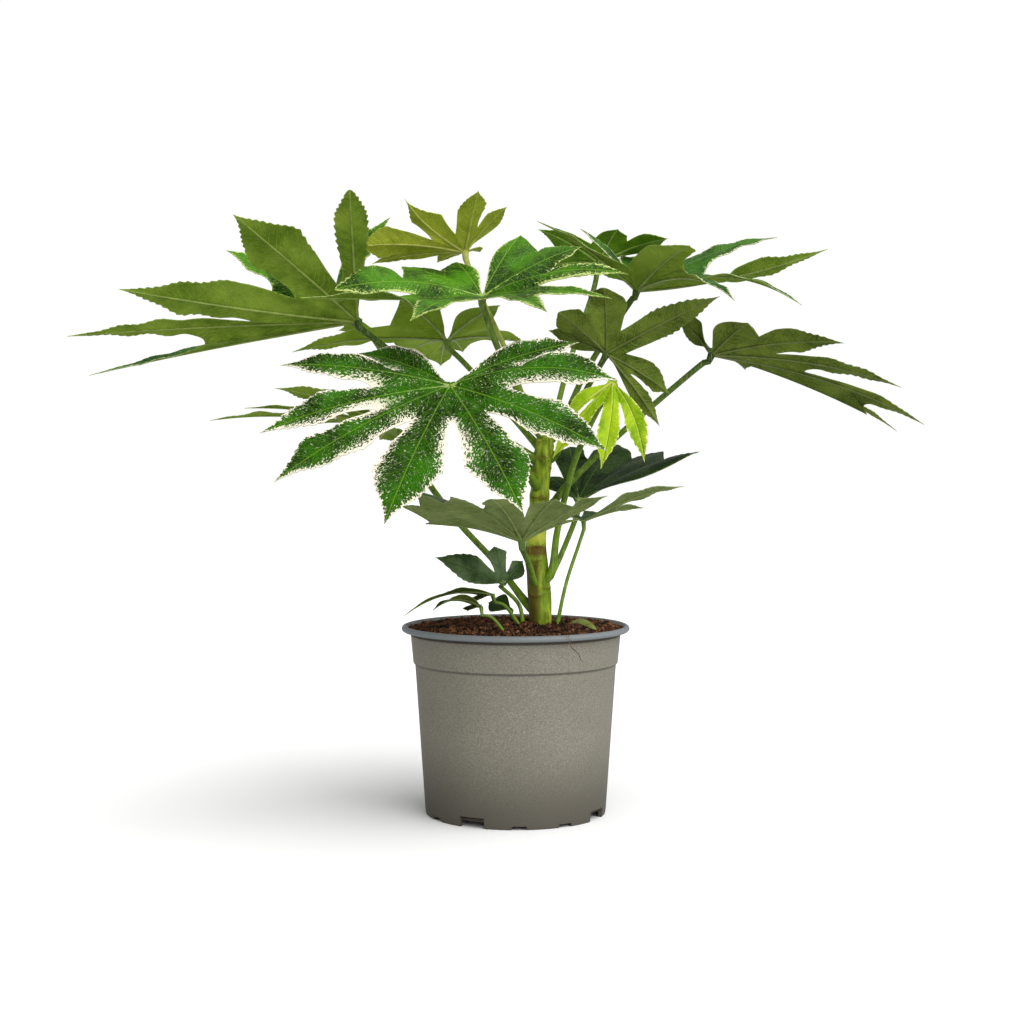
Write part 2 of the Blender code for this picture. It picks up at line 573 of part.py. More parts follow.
def build_leaf(leaf: Leaf, room: bpy.types.Object, home: bpy.types.Collection,
               cutters: bpy.types.Collection) -> bpy.types.Object | None:
    """Make one leaf's blade and stalk; return the hole cutter of a stalk that stands in the soil."""
    points, faces = sheet(leaf)
    mesh = bpy.data.meshes.new(leaf.name)
    mesh.from_pydata([[float(c) * MM for c in point] for point in points], [], faces)
    mesh.update()
    blade = place(leaf.name + "_blade", mesh, home)
    skin = blade.modifiers.new("Thickness", "SOLIDIFY")
    skin.thickness = BLADE_THICKNESS * MM
    skin.offset = 0.0
    finish(blade, leaf.colour, 0.45)

    way, radii = stalk_way(leaf)
    stalk = tube(leaf.name + "_stalk", way, radii, home)
    finish(stalk, STALK_GREEN, 0.5)
    if leaf.root is not None:
        cut(stalk, room)
        return None
    count = sum(point[2] < SOIL_MIDDLE_HEIGHT + HOLE_HEADROOM for point in way) + 1
    hole = [way[0] - (0, 0, CLEARANCE), *way[1:count]]
    wider = [radius + STEM_ROOM for radius in radii[:count]]
    return hide_cutter(tube(leaf.name + "_hole", hole, wider, cutters))


def main() -> None:
    """Clear the scene and build every piece."""
    for old in list(bpy.data.objects):
        bpy.data.objects.remove(old)
    home = bpy.data.collections.new("Potted fatsia")
    cutters = bpy.data.collections.new("Cutters")
    for group in (home, cutters):
        bpy.context.scene.collection.children.link(group)
    room = build_trunk(home, cutters)
    holes = [build_leaf(leaf, room, home, cutters) for leaf in LEAVES]
    build_soil(home, [room] + [hole for hole in holes if hole is not None])
    build_pot(home, cutters)


main()
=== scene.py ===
"""Potted variegated fatsia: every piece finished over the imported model.

Lengths are millimetres and MM turns them into metres where a mesh is made. Z is up, -Y is the side
that faces the camera, and the origin is the middle of the pot's foot. The leaves follow the same
table and the same ribs as the solids that they replace, with finer outlines, teeth, veins and
variegation.
"""

import logging
import math
from collections.abc import Iterable, Sequence
from dataclasses import dataclass, field
from enum import Enum

import bpy
import numpy as np
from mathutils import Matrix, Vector, noise


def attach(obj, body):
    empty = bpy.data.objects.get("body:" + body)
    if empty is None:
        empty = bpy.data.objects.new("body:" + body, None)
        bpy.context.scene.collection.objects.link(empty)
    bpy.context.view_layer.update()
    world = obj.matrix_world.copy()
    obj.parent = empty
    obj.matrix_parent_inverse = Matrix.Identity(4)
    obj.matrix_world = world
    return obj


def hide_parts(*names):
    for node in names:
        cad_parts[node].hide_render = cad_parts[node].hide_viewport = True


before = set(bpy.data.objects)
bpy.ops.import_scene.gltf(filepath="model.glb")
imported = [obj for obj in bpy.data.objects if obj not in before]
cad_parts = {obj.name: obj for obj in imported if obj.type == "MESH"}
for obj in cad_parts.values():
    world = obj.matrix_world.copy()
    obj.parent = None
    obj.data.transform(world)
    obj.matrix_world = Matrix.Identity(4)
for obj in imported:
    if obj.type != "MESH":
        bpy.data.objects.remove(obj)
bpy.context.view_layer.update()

LOG = logging.getLogger("potted_fatsia")
MM = 0.001
FULL_TURN = 6.28
BODY = "root"

Span = tuple[float, float]
Point = tuple[float, float, float]
Colour = tuple[float, float, float, float]


def srgb(red: int, green: int, blue: int) -> Colour:
    """Return a display colour as linear light.

    Args:
        red, green, blue: the display values, 0 to 255.

    Returns:
        The linear colour with full alpha.
    """
    parts = [value / 255 for value in (red, green, blue)]
    linear = [part / 12.92 if part <= 0.04045 else ((part + 0.055) / 1.055) ** 2.4 for part in parts]
    return (linear[0], linear[1], linear[2], 1.0)


def unit(vector: np.ndarray) -> np.ndarray:
    """Return the vector, or each row of an array, at length one."""
    return vector / np.linalg.norm(vector, axis=-1, keepdims=True)


def smooth(low: float, high: float, value: np.ndarray | float) -> np.ndarray:
    """Return a smooth step from 0 at low to 1 at high."""
    share = np.clip((np.asarray(value, float) - low) / (high - low), 0.0, 1.0)
    return share * share * (3 - 2 * share)


class Signal:
    """A number that varies over a surface; arithmetic on it adds Math nodes."""

    def __init__(self, tree: "MaterialTree", socket: bpy.types.NodeSocket) -> None:
        """Wrap one output socket of a material's tree."""
        self.tree = tree
        self.socket = socket

    def math(self, operation: str, *operands: "Signal | float") -> "Signal":
        """Add a Math node on these operands and return its result."""
        return self.tree.node("ShaderNodeMath", {"operation": operation}, dict(enumerate(operands)))

    def __add__(self, other: "Signal | float") -> "Signal":
        """Return self + other."""
        return self.math("ADD", self, other)

    __radd__ = __add__

    def __sub__(self, other: "Signal | float") -> "Signal":
        """Return self - other."""
        return self.math("SUBTRACT", self, other)

    def __rsub__(self, other: "Signal | float") -> "Signal":
        """Return other - self."""
        return self.math("SUBTRACT", other, self)

    def __mul__(self, other: "Signal | float") -> "Signal":
        """Return self * other."""
        return self.math("MULTIPLY", self, other)

    def __truediv__(self, other: "Signal | float") -> "Signal":
        """Return self / other."""
        return self.math("DIVIDE", self, other)

    def __pow__(self, power: float) -> "Signal":
        """Return self to a power."""
        return self.math("POWER", self, power)

    def fract(self) -> "Signal":
        """Return the part past the whole number."""
        return self.math("FRACT", self)

    def size(self) -> "Signal":
        """Return the value without its sign."""
        return self.math("ABSOLUTE", self)

    def least(self, other: "Signal | float") -> "Signal":
        """Return the smaller of two values."""
        return self.math("MINIMUM", self, other)

    def most(self, other: "Signal | float") -> "Signal":
        """Return the larger of two values."""
        return self.math("MAXIMUM", self, other)

    def rise(self, low: float, high: float) -> "Signal":
        """Return a smooth step from 0 at low to 1 at high."""
        settings = {"interpolation_type": "SMOOTHSTEP"}
        inputs = {"Value": self, "From Min": low, "From Max": high}
        return self.tree.node("ShaderNodeMapRange", settings, inputs)

    def fall(self, low: float, high: float) -> "Signal":
        """Return a smooth step from 1 at low to 0 at high."""
        return 1 - self.rise(low, high)

    def band(self, rise: Span, fall: Span) -> "Signal":
        """Return a band that rises over one span and falls over another."""
        return self.rise(*rise) * self.fall(*fall)


Operand = Signal | float | Sequence[float]


class MaterialTree:
    """One Principled material and the nodes that feed it."""

    def __init__(self, name: str) -> None:
        """Start a material under a name."""
        self.material = bpy.data.materials.new(name)
        self.material.use_nodes = True
        self.tree = self.material.node_tree
        self.shader = self.tree.nodes["Principled BSDF"]

    def node(self, kind: str, settings: dict | None = None, inputs: dict | None = None,
             output: int | str = 0) -> Signal:
        """Add one node.

        Args:
            kind: the node's type.
            settings: the node's own settings, such as a Math node's operation.
            inputs: the values or signals of its sockets, by name or number.
            output: the socket to return, by name or number.

        Returns:
            The chosen output.
        """
        made = self.tree.nodes.new(kind)
        for name, value in (settings or {}).items():
            setattr(made, name, value)
        for place, value in (inputs or {}).items():
            self._join(made.inputs[place], value)
        return Signal(self, made.outputs[output])

    def _join(self, socket: bpy.types.NodeSocket, value: Operand) -> None:
        """Link a signal to a socket, or set the socket's own value."""
        if isinstance(value, Signal):
            self.tree.links.new(value.socket, socket)
        else:
            socket.default_value = value

    def mix(self, share: Signal | float, first: Operand, second: Operand, blend: str = "MIX") -> Signal:
        """Return two colours mixed by a share."""
        settings = {"data_type": "RGBA", "blend_type": blend}
        return self.node("ShaderNodeMix", settings, {0: share, 6: first, 7: second}, 2)

    def place(self) -> Signal:
        """Return the object's own coordinates, in metres."""
        return self.node("ShaderNodeTexCoord", output="Object")

    def value(self, label: str) -> Signal:
        """Return a number that the mesh stores under a name."""
        return self.node("ShaderNodeAttribute", {"attribute_name": label}, output="Fac")

    def stretched(self, height: float) -> Signal:
        """Return the object's coordinates with their height scaled, for a pattern drawn out upwards."""
        return self.node("ShaderNodeMapping", None, {"Vector": self.place(), "Scale": (1.0, 1.0, height)})

    def part(self, vector: Signal, axis: int) -> Signal:
        """Return one number of a vector."""
        return self.node("ShaderNodeSeparateXYZ", inputs={0: vector}, output=axis)

    def join(self, x: Signal | float, y: Signal | float, z: Signal | float) -> Signal:
        """Return a vector of three numbers."""
        return self.node("ShaderNodeCombineXYZ", inputs={0: x, 1: y, 2: z})

    def grain(self, vector: Signal, scale: float, detail: float = 2.0, roughness: float = 0.5) -> Signal:
        """Return cloudy noise around one half."""
        inputs = {"Vector": vector, "Scale": scale, "Detail": detail, "Roughness": roughness}
        return self.node("ShaderNodeTexNoise", None, inputs)

    def cells(self, vector: Signal, scale: float) -> Signal:
        """Return the distance to the nearest wall between random cells."""
        inputs = {"Vector": vector, "Scale": scale}
        return self.node("ShaderNodeTexVoronoi", {"feature": "DISTANCE_TO_EDGE"}, inputs)

    def relief(self, height: Signal, depth: float) -> Signal:
        """Return a normal bumped by a height of this depth in metres."""
        return self.node("ShaderNodeBump", None, {"Strength": 1.0, "Distance": depth, "Height": height})

    def finish(self, constants: dict[str, float], varying: dict[str, Signal]) -> bpy.types.Material:
        """Set the shader's constant sockets, link its varying ones, and return the material."""
        for name, value in {**constants, **varying}.items():
            self._join(self.shader.inputs[name], value)
        return self.material


class LeafTree(MaterialTree):
    """A leaf's material: places on the blade in millimetres, and its veins.

    The blade's "leaf_flow" holds how far a point lies along its rib, across from it, and in from the
    margin. Its "sector" numbers the half lobes, and its "drop" is how far a half lobe faces down.
    """

    VEIN_GAP = 9.0
    VEIN_LEAN = (0.8, 0.02)

    def __init__(self, name: str) -> None:
        """Read the blade's own attributes and lay out its veins."""
        super().__init__(name)
        flow = self.node("ShaderNodeAttribute", {"attribute_name": "leaf_flow"}, output="Vector")
        self.along, self.across, self.edge = (self.part(flow, axis) for axis in range(3))
        self.sector = self.value("sector")
        lean = self.across * self.VEIN_LEAN[0] + self.across * self.across * self.VEIN_LEAN[1]
        wander = self.grain(self.place(), 55.0, 1.0) * 2.4
        self.phase = (self.along - lean + wander) / self.VEIN_GAP + self.sector * 0.5
        reach = ((self.phase.fract() - 0.5).size()) * self.VEIN_GAP
        self.side_veins = reach.fall(0.15, 0.75) * self.across.fall(2.0, 34.0)
        self.midrib = self.across.fall(0.25, 1.0)
        net = self.join(self.phase * 3.2, self.across * 0.34, self.sector * 3.7)
        self.network = self.cells(net, 1.0).fall(0.02, 0.12)

    def drawn(self, fineness: float, length: float, shift: float, detail: float = 2.0,
              roughness: float = 0.5) -> Signal:
        """Return noise drawn out along the side veins.

        Args:
            fineness: how fine it is along the rib, for each gap between side veins.
            length: how fine it is along the side veins, for each millimetre.
            shift: how far it differs from one half lobe to the next.
            detail, roughness: the noise's own settings.

        Returns:
            The noise, between 0 and 1.
        """
        vector = self.join(self.phase * fineness, self.across * length, self.sector * shift)
        return self.grain(vector, 1.0, detail, roughness)

    def streaks(self, fineness: float = 7.0) -> Signal:
        """Return long streaks along the side veins."""
        return self.drawn(fineness, 0.16, 5.3, 4.0, 0.62)


@dataclass(frozen=True)
class TopFinish:
    """The upper side of a leaf: glossy green with cream margins broken up along the veins.

    Attributes:
        deep, bright: the darkest and lightest greens.
        cream: the colour of the margins.
        reach: how far the cream comes in from the edge, in millimetres.
        amount: shifts the cream's threshold, more cream when larger.
        roughness: the gloss of the green.
        flecks: how many pale flecks lie in the green.
        veins: the colour of the veins and of the fine dusting.
        gloss: the strength of the shine.
        dusting: how strong the fine pale dusting of the green is.
        patchy: how much the cream's reach differs from place to place.
        lean: how much less cream the margins that face up have than those that face down.
    """

    name: str
    deep: Colour
    bright: Colour
    cream: Colour = srgb(236, 232, 205)
    reach: float = 9.0
    amount: float = 0.0
    roughness: float = 0.42
    flecks: float = 0.0
    veins: Colour = srgb(112, 152, 62)
    gloss: float = 0.08
    dusting: float = 0.0
    patchy: float = 0.0
    lean: float = 0.0

    def build(self) -> bpy.types.Material:
        """Return the material."""
        tree = LeafTree(self.name)
        cloud = tree.grain(tree.place(), 38.0, 3.0)
        green = tree.mix(cloud.rise(0.36, 0.66), self.deep, self.bright)
        mottle = tree.streaks(3.0)
        green = tree.mix(mottle.rise(0.52, 0.72) * 0.55, green, self.bright)
        veins = (tree.midrib * 0.55).most(tree.side_veins * 0.3).most(tree.network * 0.1)
        green = tree.mix(veins, green, self.veins)
        dusting = tree.drawn(12.0, 0.8, 2.7, 3.0, 0.7)
        green = tree.mix(dusting.rise(0.5, 0.62) * self.dusting, green, self.veins)
        speck = tree.drawn(9.0, 0.55, 2.1)
        yellow = tree.mix(0.5, self.cream, self.bright)
        green = tree.mix(speck.rise(0.66 - self.flecks, 0.72 - self.flecks) * 0.8, green, yellow)
        cream = self._cream(tree)
        pale = tree.mix(tree.edge.rise(2.0, 14.0) * 0.65, self.cream, self.veins)
        colour = tree.mix(cream, green, pale)
        height = tree.side_veins * -0.5 + tree.midrib * -0.8 + tree.network * -0.16 + cloud * 0.3
        rough = tree.grain(tree.place(), 260.0) * 0.16 + (self.roughness - 0.08) + cream * 0.1
        varying = {"Base Color": colour, "Roughness": rough, "Normal": tree.relief(height, 0.0007)}
        return tree.finish({"Specular IOR Level": self.gloss}, varying)

    def _cream(self, tree: LeafTree) -> Signal:
        """Return where the blade is cream: in drawn specks that close up towards the margin."""
        level = tree.drawn(7.5, 0.45, 2.3, 2.0, 0.6) + tree.grain(tree.place(), 640.0, 2.0, 0.6)
        level = level + (tree.grain(tree.place(), 22.0, 1.0) - 0.5) * self.patchy
        drop = tree.value("drop")
        level = level + drop.least(drop * 0.25) * self.lean
        level = level + tree.edge.fall(0.5, 2.4) * 0.12
        level = level - (tree.edge / self.reach).least(1.0) ** 0.6 * 0.4
        level = level - tree.across.fall(0.6, 3.2) * 0.16
        return (level - (0.84 - self.amount)).rise(-0.02, 0.03)


@dataclass(frozen=True)
class UnderFinish:
    """The lower side of a leaf: matt, with pale raised veins and a faint shade of the markings."""

    name: str
    dark: Colour
    light: Colour
    veins: Colour
    pale: Colour
    reach: float = 6.0
    amount: float = 0.0
    dust: float = 0.0
    roughness: float = 0.6

    def build(self) -> bpy.types.Material:
        """Return the material."""
        tree = LeafTree(self.name)
        cloud = tree.grain(tree.place(), 30.0, 4.0, 0.6)
        base = tree.mix(cloud.rise(0.32, 0.68), self.dark, self.light)
        mottle = tree.streaks(4.0)
        base = tree.mix(mottle.rise(0.48, 0.7) * 0.35, base, self.light)
        level = tree.streaks() * 1.5 - tree.edge * (0.55 / self.reach)
        base = tree.mix((level - (0.62 - self.amount)).rise(-0.04, 0.12) * 0.75, base, self.pale)
        dots = tree.grain(tree.place(), 900.0, 2.0)
        base = tree.mix(dots.rise(0.52, 0.64) * self.dust, base, self.pale)
        veins = (tree.side_veins * 0.55).most(tree.midrib * 0.8).most(tree.network * 0.16)
        colour = tree.mix(veins, base, self.veins)
        height = tree.side_veins * 0.8 + tree.network * 0.3 + dots * 0.15
        varying = {"Base Color": colour, "Normal": tree.relief(height, 0.0006)}
        return tree.finish({"Roughness": self.roughness, "Specular IOR Level": 0.03}, varying)


@dataclass(frozen=True)
class RibFinish:
    """The raised ribs under a leaf."""

    name: str
    colour: Colour

    def build(self) -> bpy.types.Material:
        """Return the material."""
        tree = MaterialTree(self.name)
        cloud = tree.grain(tree.place(), 120.0, 3.0)
        darker = tuple(value * 0.72 for value in self.colour[:3]) + (1.0,)
        colour = tree.mix(cloud.rise(0.35, 0.65), darker, self.colour)
        varying = {"Base Color": colour, "Normal": tree.relief(cloud, 0.0002)}
        return tree.finish({"Roughness": 0.5}, varying)


@dataclass(frozen=True)
class StalkFinish:
    """A leaf stalk: smooth and green, shading from its root to its blade, with fine lengthwise lines."""

    name: str
    root: Colour
    top: Colour
    shade: Colour = srgb(150, 150, 120)
    lines: Colour = srgb(190, 205, 120)

    def build(self) -> bpy.types.Material:
        """Return the material."""
        tree = MaterialTree(self.name)
        colour = tree.mix(tree.value("way"), self.root, self.top)
        cloud = tree.grain(tree.place(), 70.0, 4.0, 0.6)
        darker = tree.mix(1.0, colour, self.shade, "MULTIPLY")
        colour = tree.mix(cloud.rise(0.42, 0.7) * 0.8, colour, darker)
        lines = tree.grain(tree.stretched(0.06), 900.0, 2.0)
        colour = tree.mix(lines.rise(0.5, 0.75) * 0.4, colour, self.lines)
        varying = {"Base Color": colour, "Normal": tree.relief(lines + cloud * 0.5, 0.0003)}
        return tree.finish({"Roughness": 0.42, "Specular IOR Level": 0.2}, varying)


@dataclass(frozen=True)
class TrunkFinish:
    """The green trunk: smooth skin, brown corky scars, and painted shade that darkens its foot and its left
    side.

    Attributes:
        skin, shade: the skin's two greens; the darker one also serves as the painted shade at the foot.
        pale: the colour of the young stretch.
        dim: the colour of the painted shade on the left side.
        scar: the brown of the scars.
        foot: the heights, in metres, over which the painted shade at the foot fades out.
        young, joint: the heights over which the young stretch and the dark joint come and go.
        shaded_side: how far to the right the painted shade on the left side reaches, and up to which heights.
    """

    name: str = "Trunk skin"
    skin: Colour = srgb(180, 202, 60)
    pale: Colour = srgb(222, 224, 84)
    shade: Colour = srgb(104, 130, 22)
    dim: Colour = srgb(70, 84, 18)
    scar: Colour = srgb(104, 72, 26)
    foot: Span = (0.165, 0.25)
    young: tuple[Span, Span] = ((0.222, 0.230), (0.254, 0.262))
    joint: tuple[Span, Span] = ((0.212, 0.217), (0.2215, 0.2235))
    shaded_side: tuple[Span, Span] = ((0.0165, 0.0215), (0.205, 0.215))

    def build(self) -> bpy.types.Material:
        """Return the material."""
        tree = MaterialTree(self.name)
        place = tree.place()
        height = tree.part(place, 2)
        streak = tree.grain(tree.stretched(0.22), 210.0, 4.0, 0.65)
        cloud = tree.grain(place, 55.0, 3.0)
        colour = tree.mix(streak.rise(0.4, 0.66), self.skin, self.shade)
        # Painted shade: the skin turns darker towards the foot.
        colour = tree.mix(height.fall(*self.foot) * 0.8 * cloud.rise(0.25, 0.55), colour, self.shade)
        colour = tree.mix(height.band(*self.young) * cloud.rise(0.3, 0.5) * 0.7, colour, self.pale)
        # Painted shade: the left side below the joint is darker.
        side, top = self.shaded_side
        shaded_side = tree.part(place, 0).fall(*side) * height.fall(*top)
        colour = tree.mix(shaded_side * 0.6, colour, self.dim)
        # The dark joint is the trunk's own; what comes from the left side is painted shade.
        joint_and_side_shade = (height.band(*self.joint) * 1.1).most(shaded_side * 0.7) * streak.rise(0.22, 0.48)
        colour = tree.mix(joint_and_side_shade * 0.8, colour, self.scar)
        broken = tree.value("scar") * (tree.grain(place, 300.0, 4.0, 0.7) * 2.0 - 0.35)
        patch = tree.grain(place, 62.0, 4.0, 0.65).rise(0.58, 0.68)
        colour = tree.mix((broken.rise(0.2, 0.8) + patch * 0.7).least(1.0) * 0.75, colour, self.scar)
        spots = tree.grain(place, 700.0, 2.0).rise(0.66, 0.74)
        colour = tree.mix(spots * 0.35, colour, self.scar)
        bumps = streak * 0.5 + broken * 0.8 + spots * 0.3 + patch * 0.3
        rough = 0.45 + broken.least(1.0) * 0.35
        varying = {"Base Color": colour, "Roughness": rough, "Normal": tree.relief(bumps, 0.0006)}
        return tree.finish({"Specular IOR Level": 0.2}, varying)


@dataclass(frozen=True)
class PotFinish:
    """Recycled grey moulded plastic with a fine speckle. Its darker foot and the dark lines under the lip and
    the band are painted shade, and its rolled rim's cooler grey is a painted reflection.
    """

    name: str = "Pot plastic"
    body: Colour = srgb(142, 138, 124)
    dark: Colour = srgb(118, 114, 102)
    light: Colour = srgb(166, 162, 146)
    # The colour of the painted shade that darkens the pot towards its foot.
    foot_shade: Colour = srgb(84, 80, 70)
    # The colour of the painted shadow under the lip and under the band.
    painted_shadow: Colour = srgb(52, 50, 44)
    # The rim's two cooler greys are a painted reflection.
    rim: Colour = srgb(118, 126, 132)
    rim_reflection_light: Colour = srgb(130, 136, 140)
    # How high the painted shade at the foot reaches, in metres.
    foot_shade_height: float = 0.075

    def build(self, rim_foot: float, band_foot: float) -> bpy.types.Material:
        """Return the material.

        Args:
            rim_foot: the height of the rolled rim's lower edge, in metres.
            band_foot: the height of the band's lower edge, in metres.

        Returns:
            The pot's material.
        """
        tree = MaterialTree(self.name)
        place = tree.place()
        speckle = tree.grain(place, 1900.0, 2.0, 0.7)
        blotch = tree.grain(place, 1000.0, 3.0, 0.65)
        colour = tree.mix((speckle + blotch).rise(0.86, 1.14), self.dark, self.body)
        colour = tree.mix(blotch.rise(0.5, 0.7) * 0.55, colour, self.light)
        colour = tree.mix(tree.grain(place, 26.0, 2.0).rise(0.35, 0.7) * 0.22, colour, self.dark)
        level = tree.part(place, 2)
        # Painted shade: the pot turns darker towards its foot.
        colour = tree.mix(level.fall(0.0, self.foot_shade_height) * 0.95, colour, self.foot_shade)
        # Painted shadow: dark lines just under the lip and just under the band.
        shadow_under_lip = level.band((rim_foot - 0.0030, rim_foot - 0.0022), (rim_foot - 0.0005, rim_foot))
        shadow_under_band = level.band((band_foot - 0.0022, band_foot - 0.0014), (band_foot, band_foot + 0.0005))
        colour = tree.mix((shadow_under_lip * 0.85).most(shadow_under_band * 0.5), colour, self.painted_shadow)
        rim = level.rise(rim_foot - 0.0002, rim_foot + 0.0004)
        # Painted reflection: the rolled rim takes a cooler bluish grey.
        rim_reflection = tree.mix(speckle.rise(0.4, 0.62) * 0.5, self.rim, self.rim_reflection_light)
        colour = tree.mix(rim * 0.85, colour, rim_reflection)
        rough = 0.52 + speckle * 0.2 - rim * 0.16
        height = speckle * 0.7 + blotch * 0.5
        varying = {"Base Color": colour, "Roughness": rough, "Normal": tree.relief(height, 0.00022)}
        return tree.finish({"Specular IOR Level": 0.4}, varying)


@dataclass(frozen=True)
class EarthFinish:
    """Peat or fibre: a dark and a lighter shade in random patches."""

    name: str
    dark: Colour
    light: Colour
    scale: float = 240.0

    def build(self) -> bpy.types.Material:
        """Return the material."""
        tree = MaterialTree(self.name)
        place = tree.place()
        patch = tree.grain(place, self.scale, 5.0, 0.7)
        wide = tree.grain(place, self.scale * 0.18, 2.0)
        colour = tree.mix(patch.rise(0.38, 0.66), self.dark, self.light)
        colour = tree.mix(wide.rise(0.45, 0.65) * 0.5, colour, self.dark)
        varying = {"Base Color": colour, "Normal": tree.relief(patch, 0.0012)}
        return tree.finish({"Roughness": 0.95, "Specular IOR Level": 0.15}, varying)


class Look(Enum):
    """The looks that the leaves come in. One that isn't a slot of the record has the slot of its kin; some of
    these are their kin with painted light or a painted sheen.
    """

    VARIEGATED = "leaf_variegated"
    BRIGHT = "leaf_bright"
    OLIVE = "leaf_olive"
    YOUNG = "leaf_young"
    DARK = "leaf_dark"
    # A copy of BRIGHT whose brighter greens are painted light shining through the blade.
    BACKLIT_BRIGHT = "backlit_bright"
    # A copy of OLIVE whose paler greens are painted light shining through the blade.
    BACKLIT_OLIVE = "pale"
    DUSTY = "dusty"
    # A copy of DARK in grey-green, partly a painted sheen.
    GREY_SHEEN = "grey"
    LIGHT = "light"

    @property
    def slot(self) -> str:
        """Return the record's slot for the look."""
        kin = {Look.BACKLIT_BRIGHT: Look.BRIGHT, Look.BACKLIT_OLIVE: Look.OLIVE, Look.DUSTY: Look.OLIVE, Look.GREY_SHEEN: Look.DARK,
               Look.LIGHT: Look.OLIVE}
        return kin.get(self, self).value


class Skin(Enum):
    """Which of a blade's two finishes a face takes."""

    TOP = 0
    UNDER = 1


@dataclass(frozen=True)
class LeafFinishes:
    """What dresses one kind of leaf."""

    top: TopFinish
    under: UnderFinish
    ribs: RibFinish


FINISHES = {
    Look.VARIEGATED: LeafFinishes(
        TopFinish("Variegated top", srgb(1, 28, 0), srgb(36, 94, 2), cream=srgb(234, 226, 206), reach=13.0,
                  veins=srgb(112, 158, 40), amount=-0.035, flecks=0.03, gloss=0.04, dusting=0.25, patchy=0.7,
                  lean=0.2),
        UnderFinish("Variegated underside", srgb(88, 116, 40), srgb(124, 150, 64), srgb(160, 180, 96),
                    srgb(186, 192, 140), reach=9.0, amount=0.1),
        RibFinish("Variegated ribs", srgb(150, 172, 86)),
    ),
    Look.BRIGHT: LeafFinishes(
        TopFinish("Bright top", srgb(6, 44, 0), srgb(62, 120, 2), cream=srgb(190, 204, 122), reach=9.0,
                  amount=-0.1, veins=srgb(132, 180, 56), flecks=0.04, gloss=0.1, dusting=0.2, patchy=0.6,
                  lean=0.1),
        UnderFinish("Bright underside", srgb(84, 118, 22), srgb(118, 148, 44), srgb(158, 184, 86),
                    srgb(176, 190, 116)),
        RibFinish("Bright ribs", srgb(150, 178, 76)),
    ),
    Look.OLIVE: LeafFinishes(
        TopFinish("Olive top", srgb(20, 62, 8), srgb(60, 108, 24), cream=srgb(222, 222, 184), reach=5.0,
                  amount=-0.1),
        UnderFinish("Olive underside", srgb(84, 114, 24), srgb(132, 160, 54), srgb(158, 180, 84),
                    srgb(160, 172, 96), reach=3.0, amount=-0.08),
        RibFinish("Olive ribs", srgb(146, 168, 70)),
    ),
    Look.LIGHT: LeafFinishes(
        TopFinish("Light top", srgb(20, 62, 8), srgb(60, 108, 24), cream=srgb(222, 222, 184), reach=5.0,
                  amount=-0.1),
        UnderFinish("Light underside", srgb(104, 136, 26), srgb(148, 178, 58), srgb(168, 190, 92),
                    srgb(170, 180, 110), reach=3.0, amount=-0.08, dust=0.2),
        RibFinish("Light ribs", srgb(152, 172, 80)),
    ),
    # Painted light: brighter greens that stand for light shining through the blade.
    Look.BACKLIT_BRIGHT: LeafFinishes(
        TopFinish("Backlit top", srgb(40, 104, 6), srgb(98, 160, 26), reach=3.0, amount=-0.3),
        UnderFinish("Backlit underside", srgb(72, 112, 10), srgb(112, 158, 30), srgb(138, 174, 66),
                    srgb(160, 184, 90), reach=3.0, amount=-0.1),
        RibFinish("Backlit ribs", srgb(158, 190, 80)),
    ),
    # Painted light: paler greens that stand for light shining through the blade.
    Look.BACKLIT_OLIVE: LeafFinishes(
        TopFinish("Pale top", srgb(30, 76, 10), srgb(74, 122, 28), reach=3.0, amount=-0.3),
        UnderFinish("Pale underside", srgb(118, 152, 26), srgb(156, 188, 58), srgb(176, 198, 100),
                    srgb(158, 150, 104), reach=4.0, amount=-0.1),
        RibFinish("Pale ribs", srgb(160, 178, 104)),
    ),
    Look.DUSTY: LeafFinishes(
        TopFinish("Dusty top", srgb(20, 54, 8), srgb(52, 92, 20), reach=3.0, amount=-0.3),
        UnderFinish("Dusty underside", srgb(56, 80, 10), srgb(114, 136, 46), srgb(140, 156, 76),
                    srgb(134, 134, 92), reach=3.0, amount=-0.1, dust=0.45),
        RibFinish("Dusty ribs", srgb(108, 122, 50)),
    ),
    Look.YOUNG: LeafFinishes(
        TopFinish("Young top", srgb(116, 158, 4), srgb(168, 200, 22), cream=srgb(216, 226, 128), reach=2.0,
                  amount=-0.1, roughness=0.28, veins=srgb(196, 216, 92), flecks=0.02, gloss=0.08),
        UnderFinish("Young underside", srgb(136, 154, 30), srgb(178, 192, 62), srgb(208, 214, 106),
                    srgb(190, 188, 92), reach=3.0, amount=-0.05),
        RibFinish("Young ribs", srgb(196, 202, 92)),
    ),
    Look.DARK: LeafFinishes(
        TopFinish("Dark top", srgb(12, 30, 4), srgb(46, 70, 24), cream=srgb(140, 160, 104), reach=1.6,
                  amount=-0.2, roughness=0.42, veins=srgb(84, 116, 52)),
        UnderFinish("Dark underside", srgb(76, 98, 36), srgb(108, 128, 58), srgb(146, 162, 96),
                    srgb(150, 162, 112), reach=3.0, amount=-0.1),
        RibFinish("Dark ribs", srgb(134, 154, 80)),
    ),
    # Grey-green, partly a painted sheen.
    Look.GREY_SHEEN: LeafFinishes(
        TopFinish("Grey top", srgb(50, 72, 40), srgb(106, 128, 88), cream=srgb(140, 160, 104), reach=1.6,
                  amount=-0.2, roughness=0.4, veins=srgb(92, 124, 62)),
        UnderFinish("Grey underside", srgb(104, 124, 60), srgb(144, 160, 96), srgb(152, 168, 106),
                    srgb(164, 176, 130), reach=4.0, amount=-0.05, dust=0.3),
        RibFinish("Grey ribs", srgb(146, 166, 92)),
    ),
}

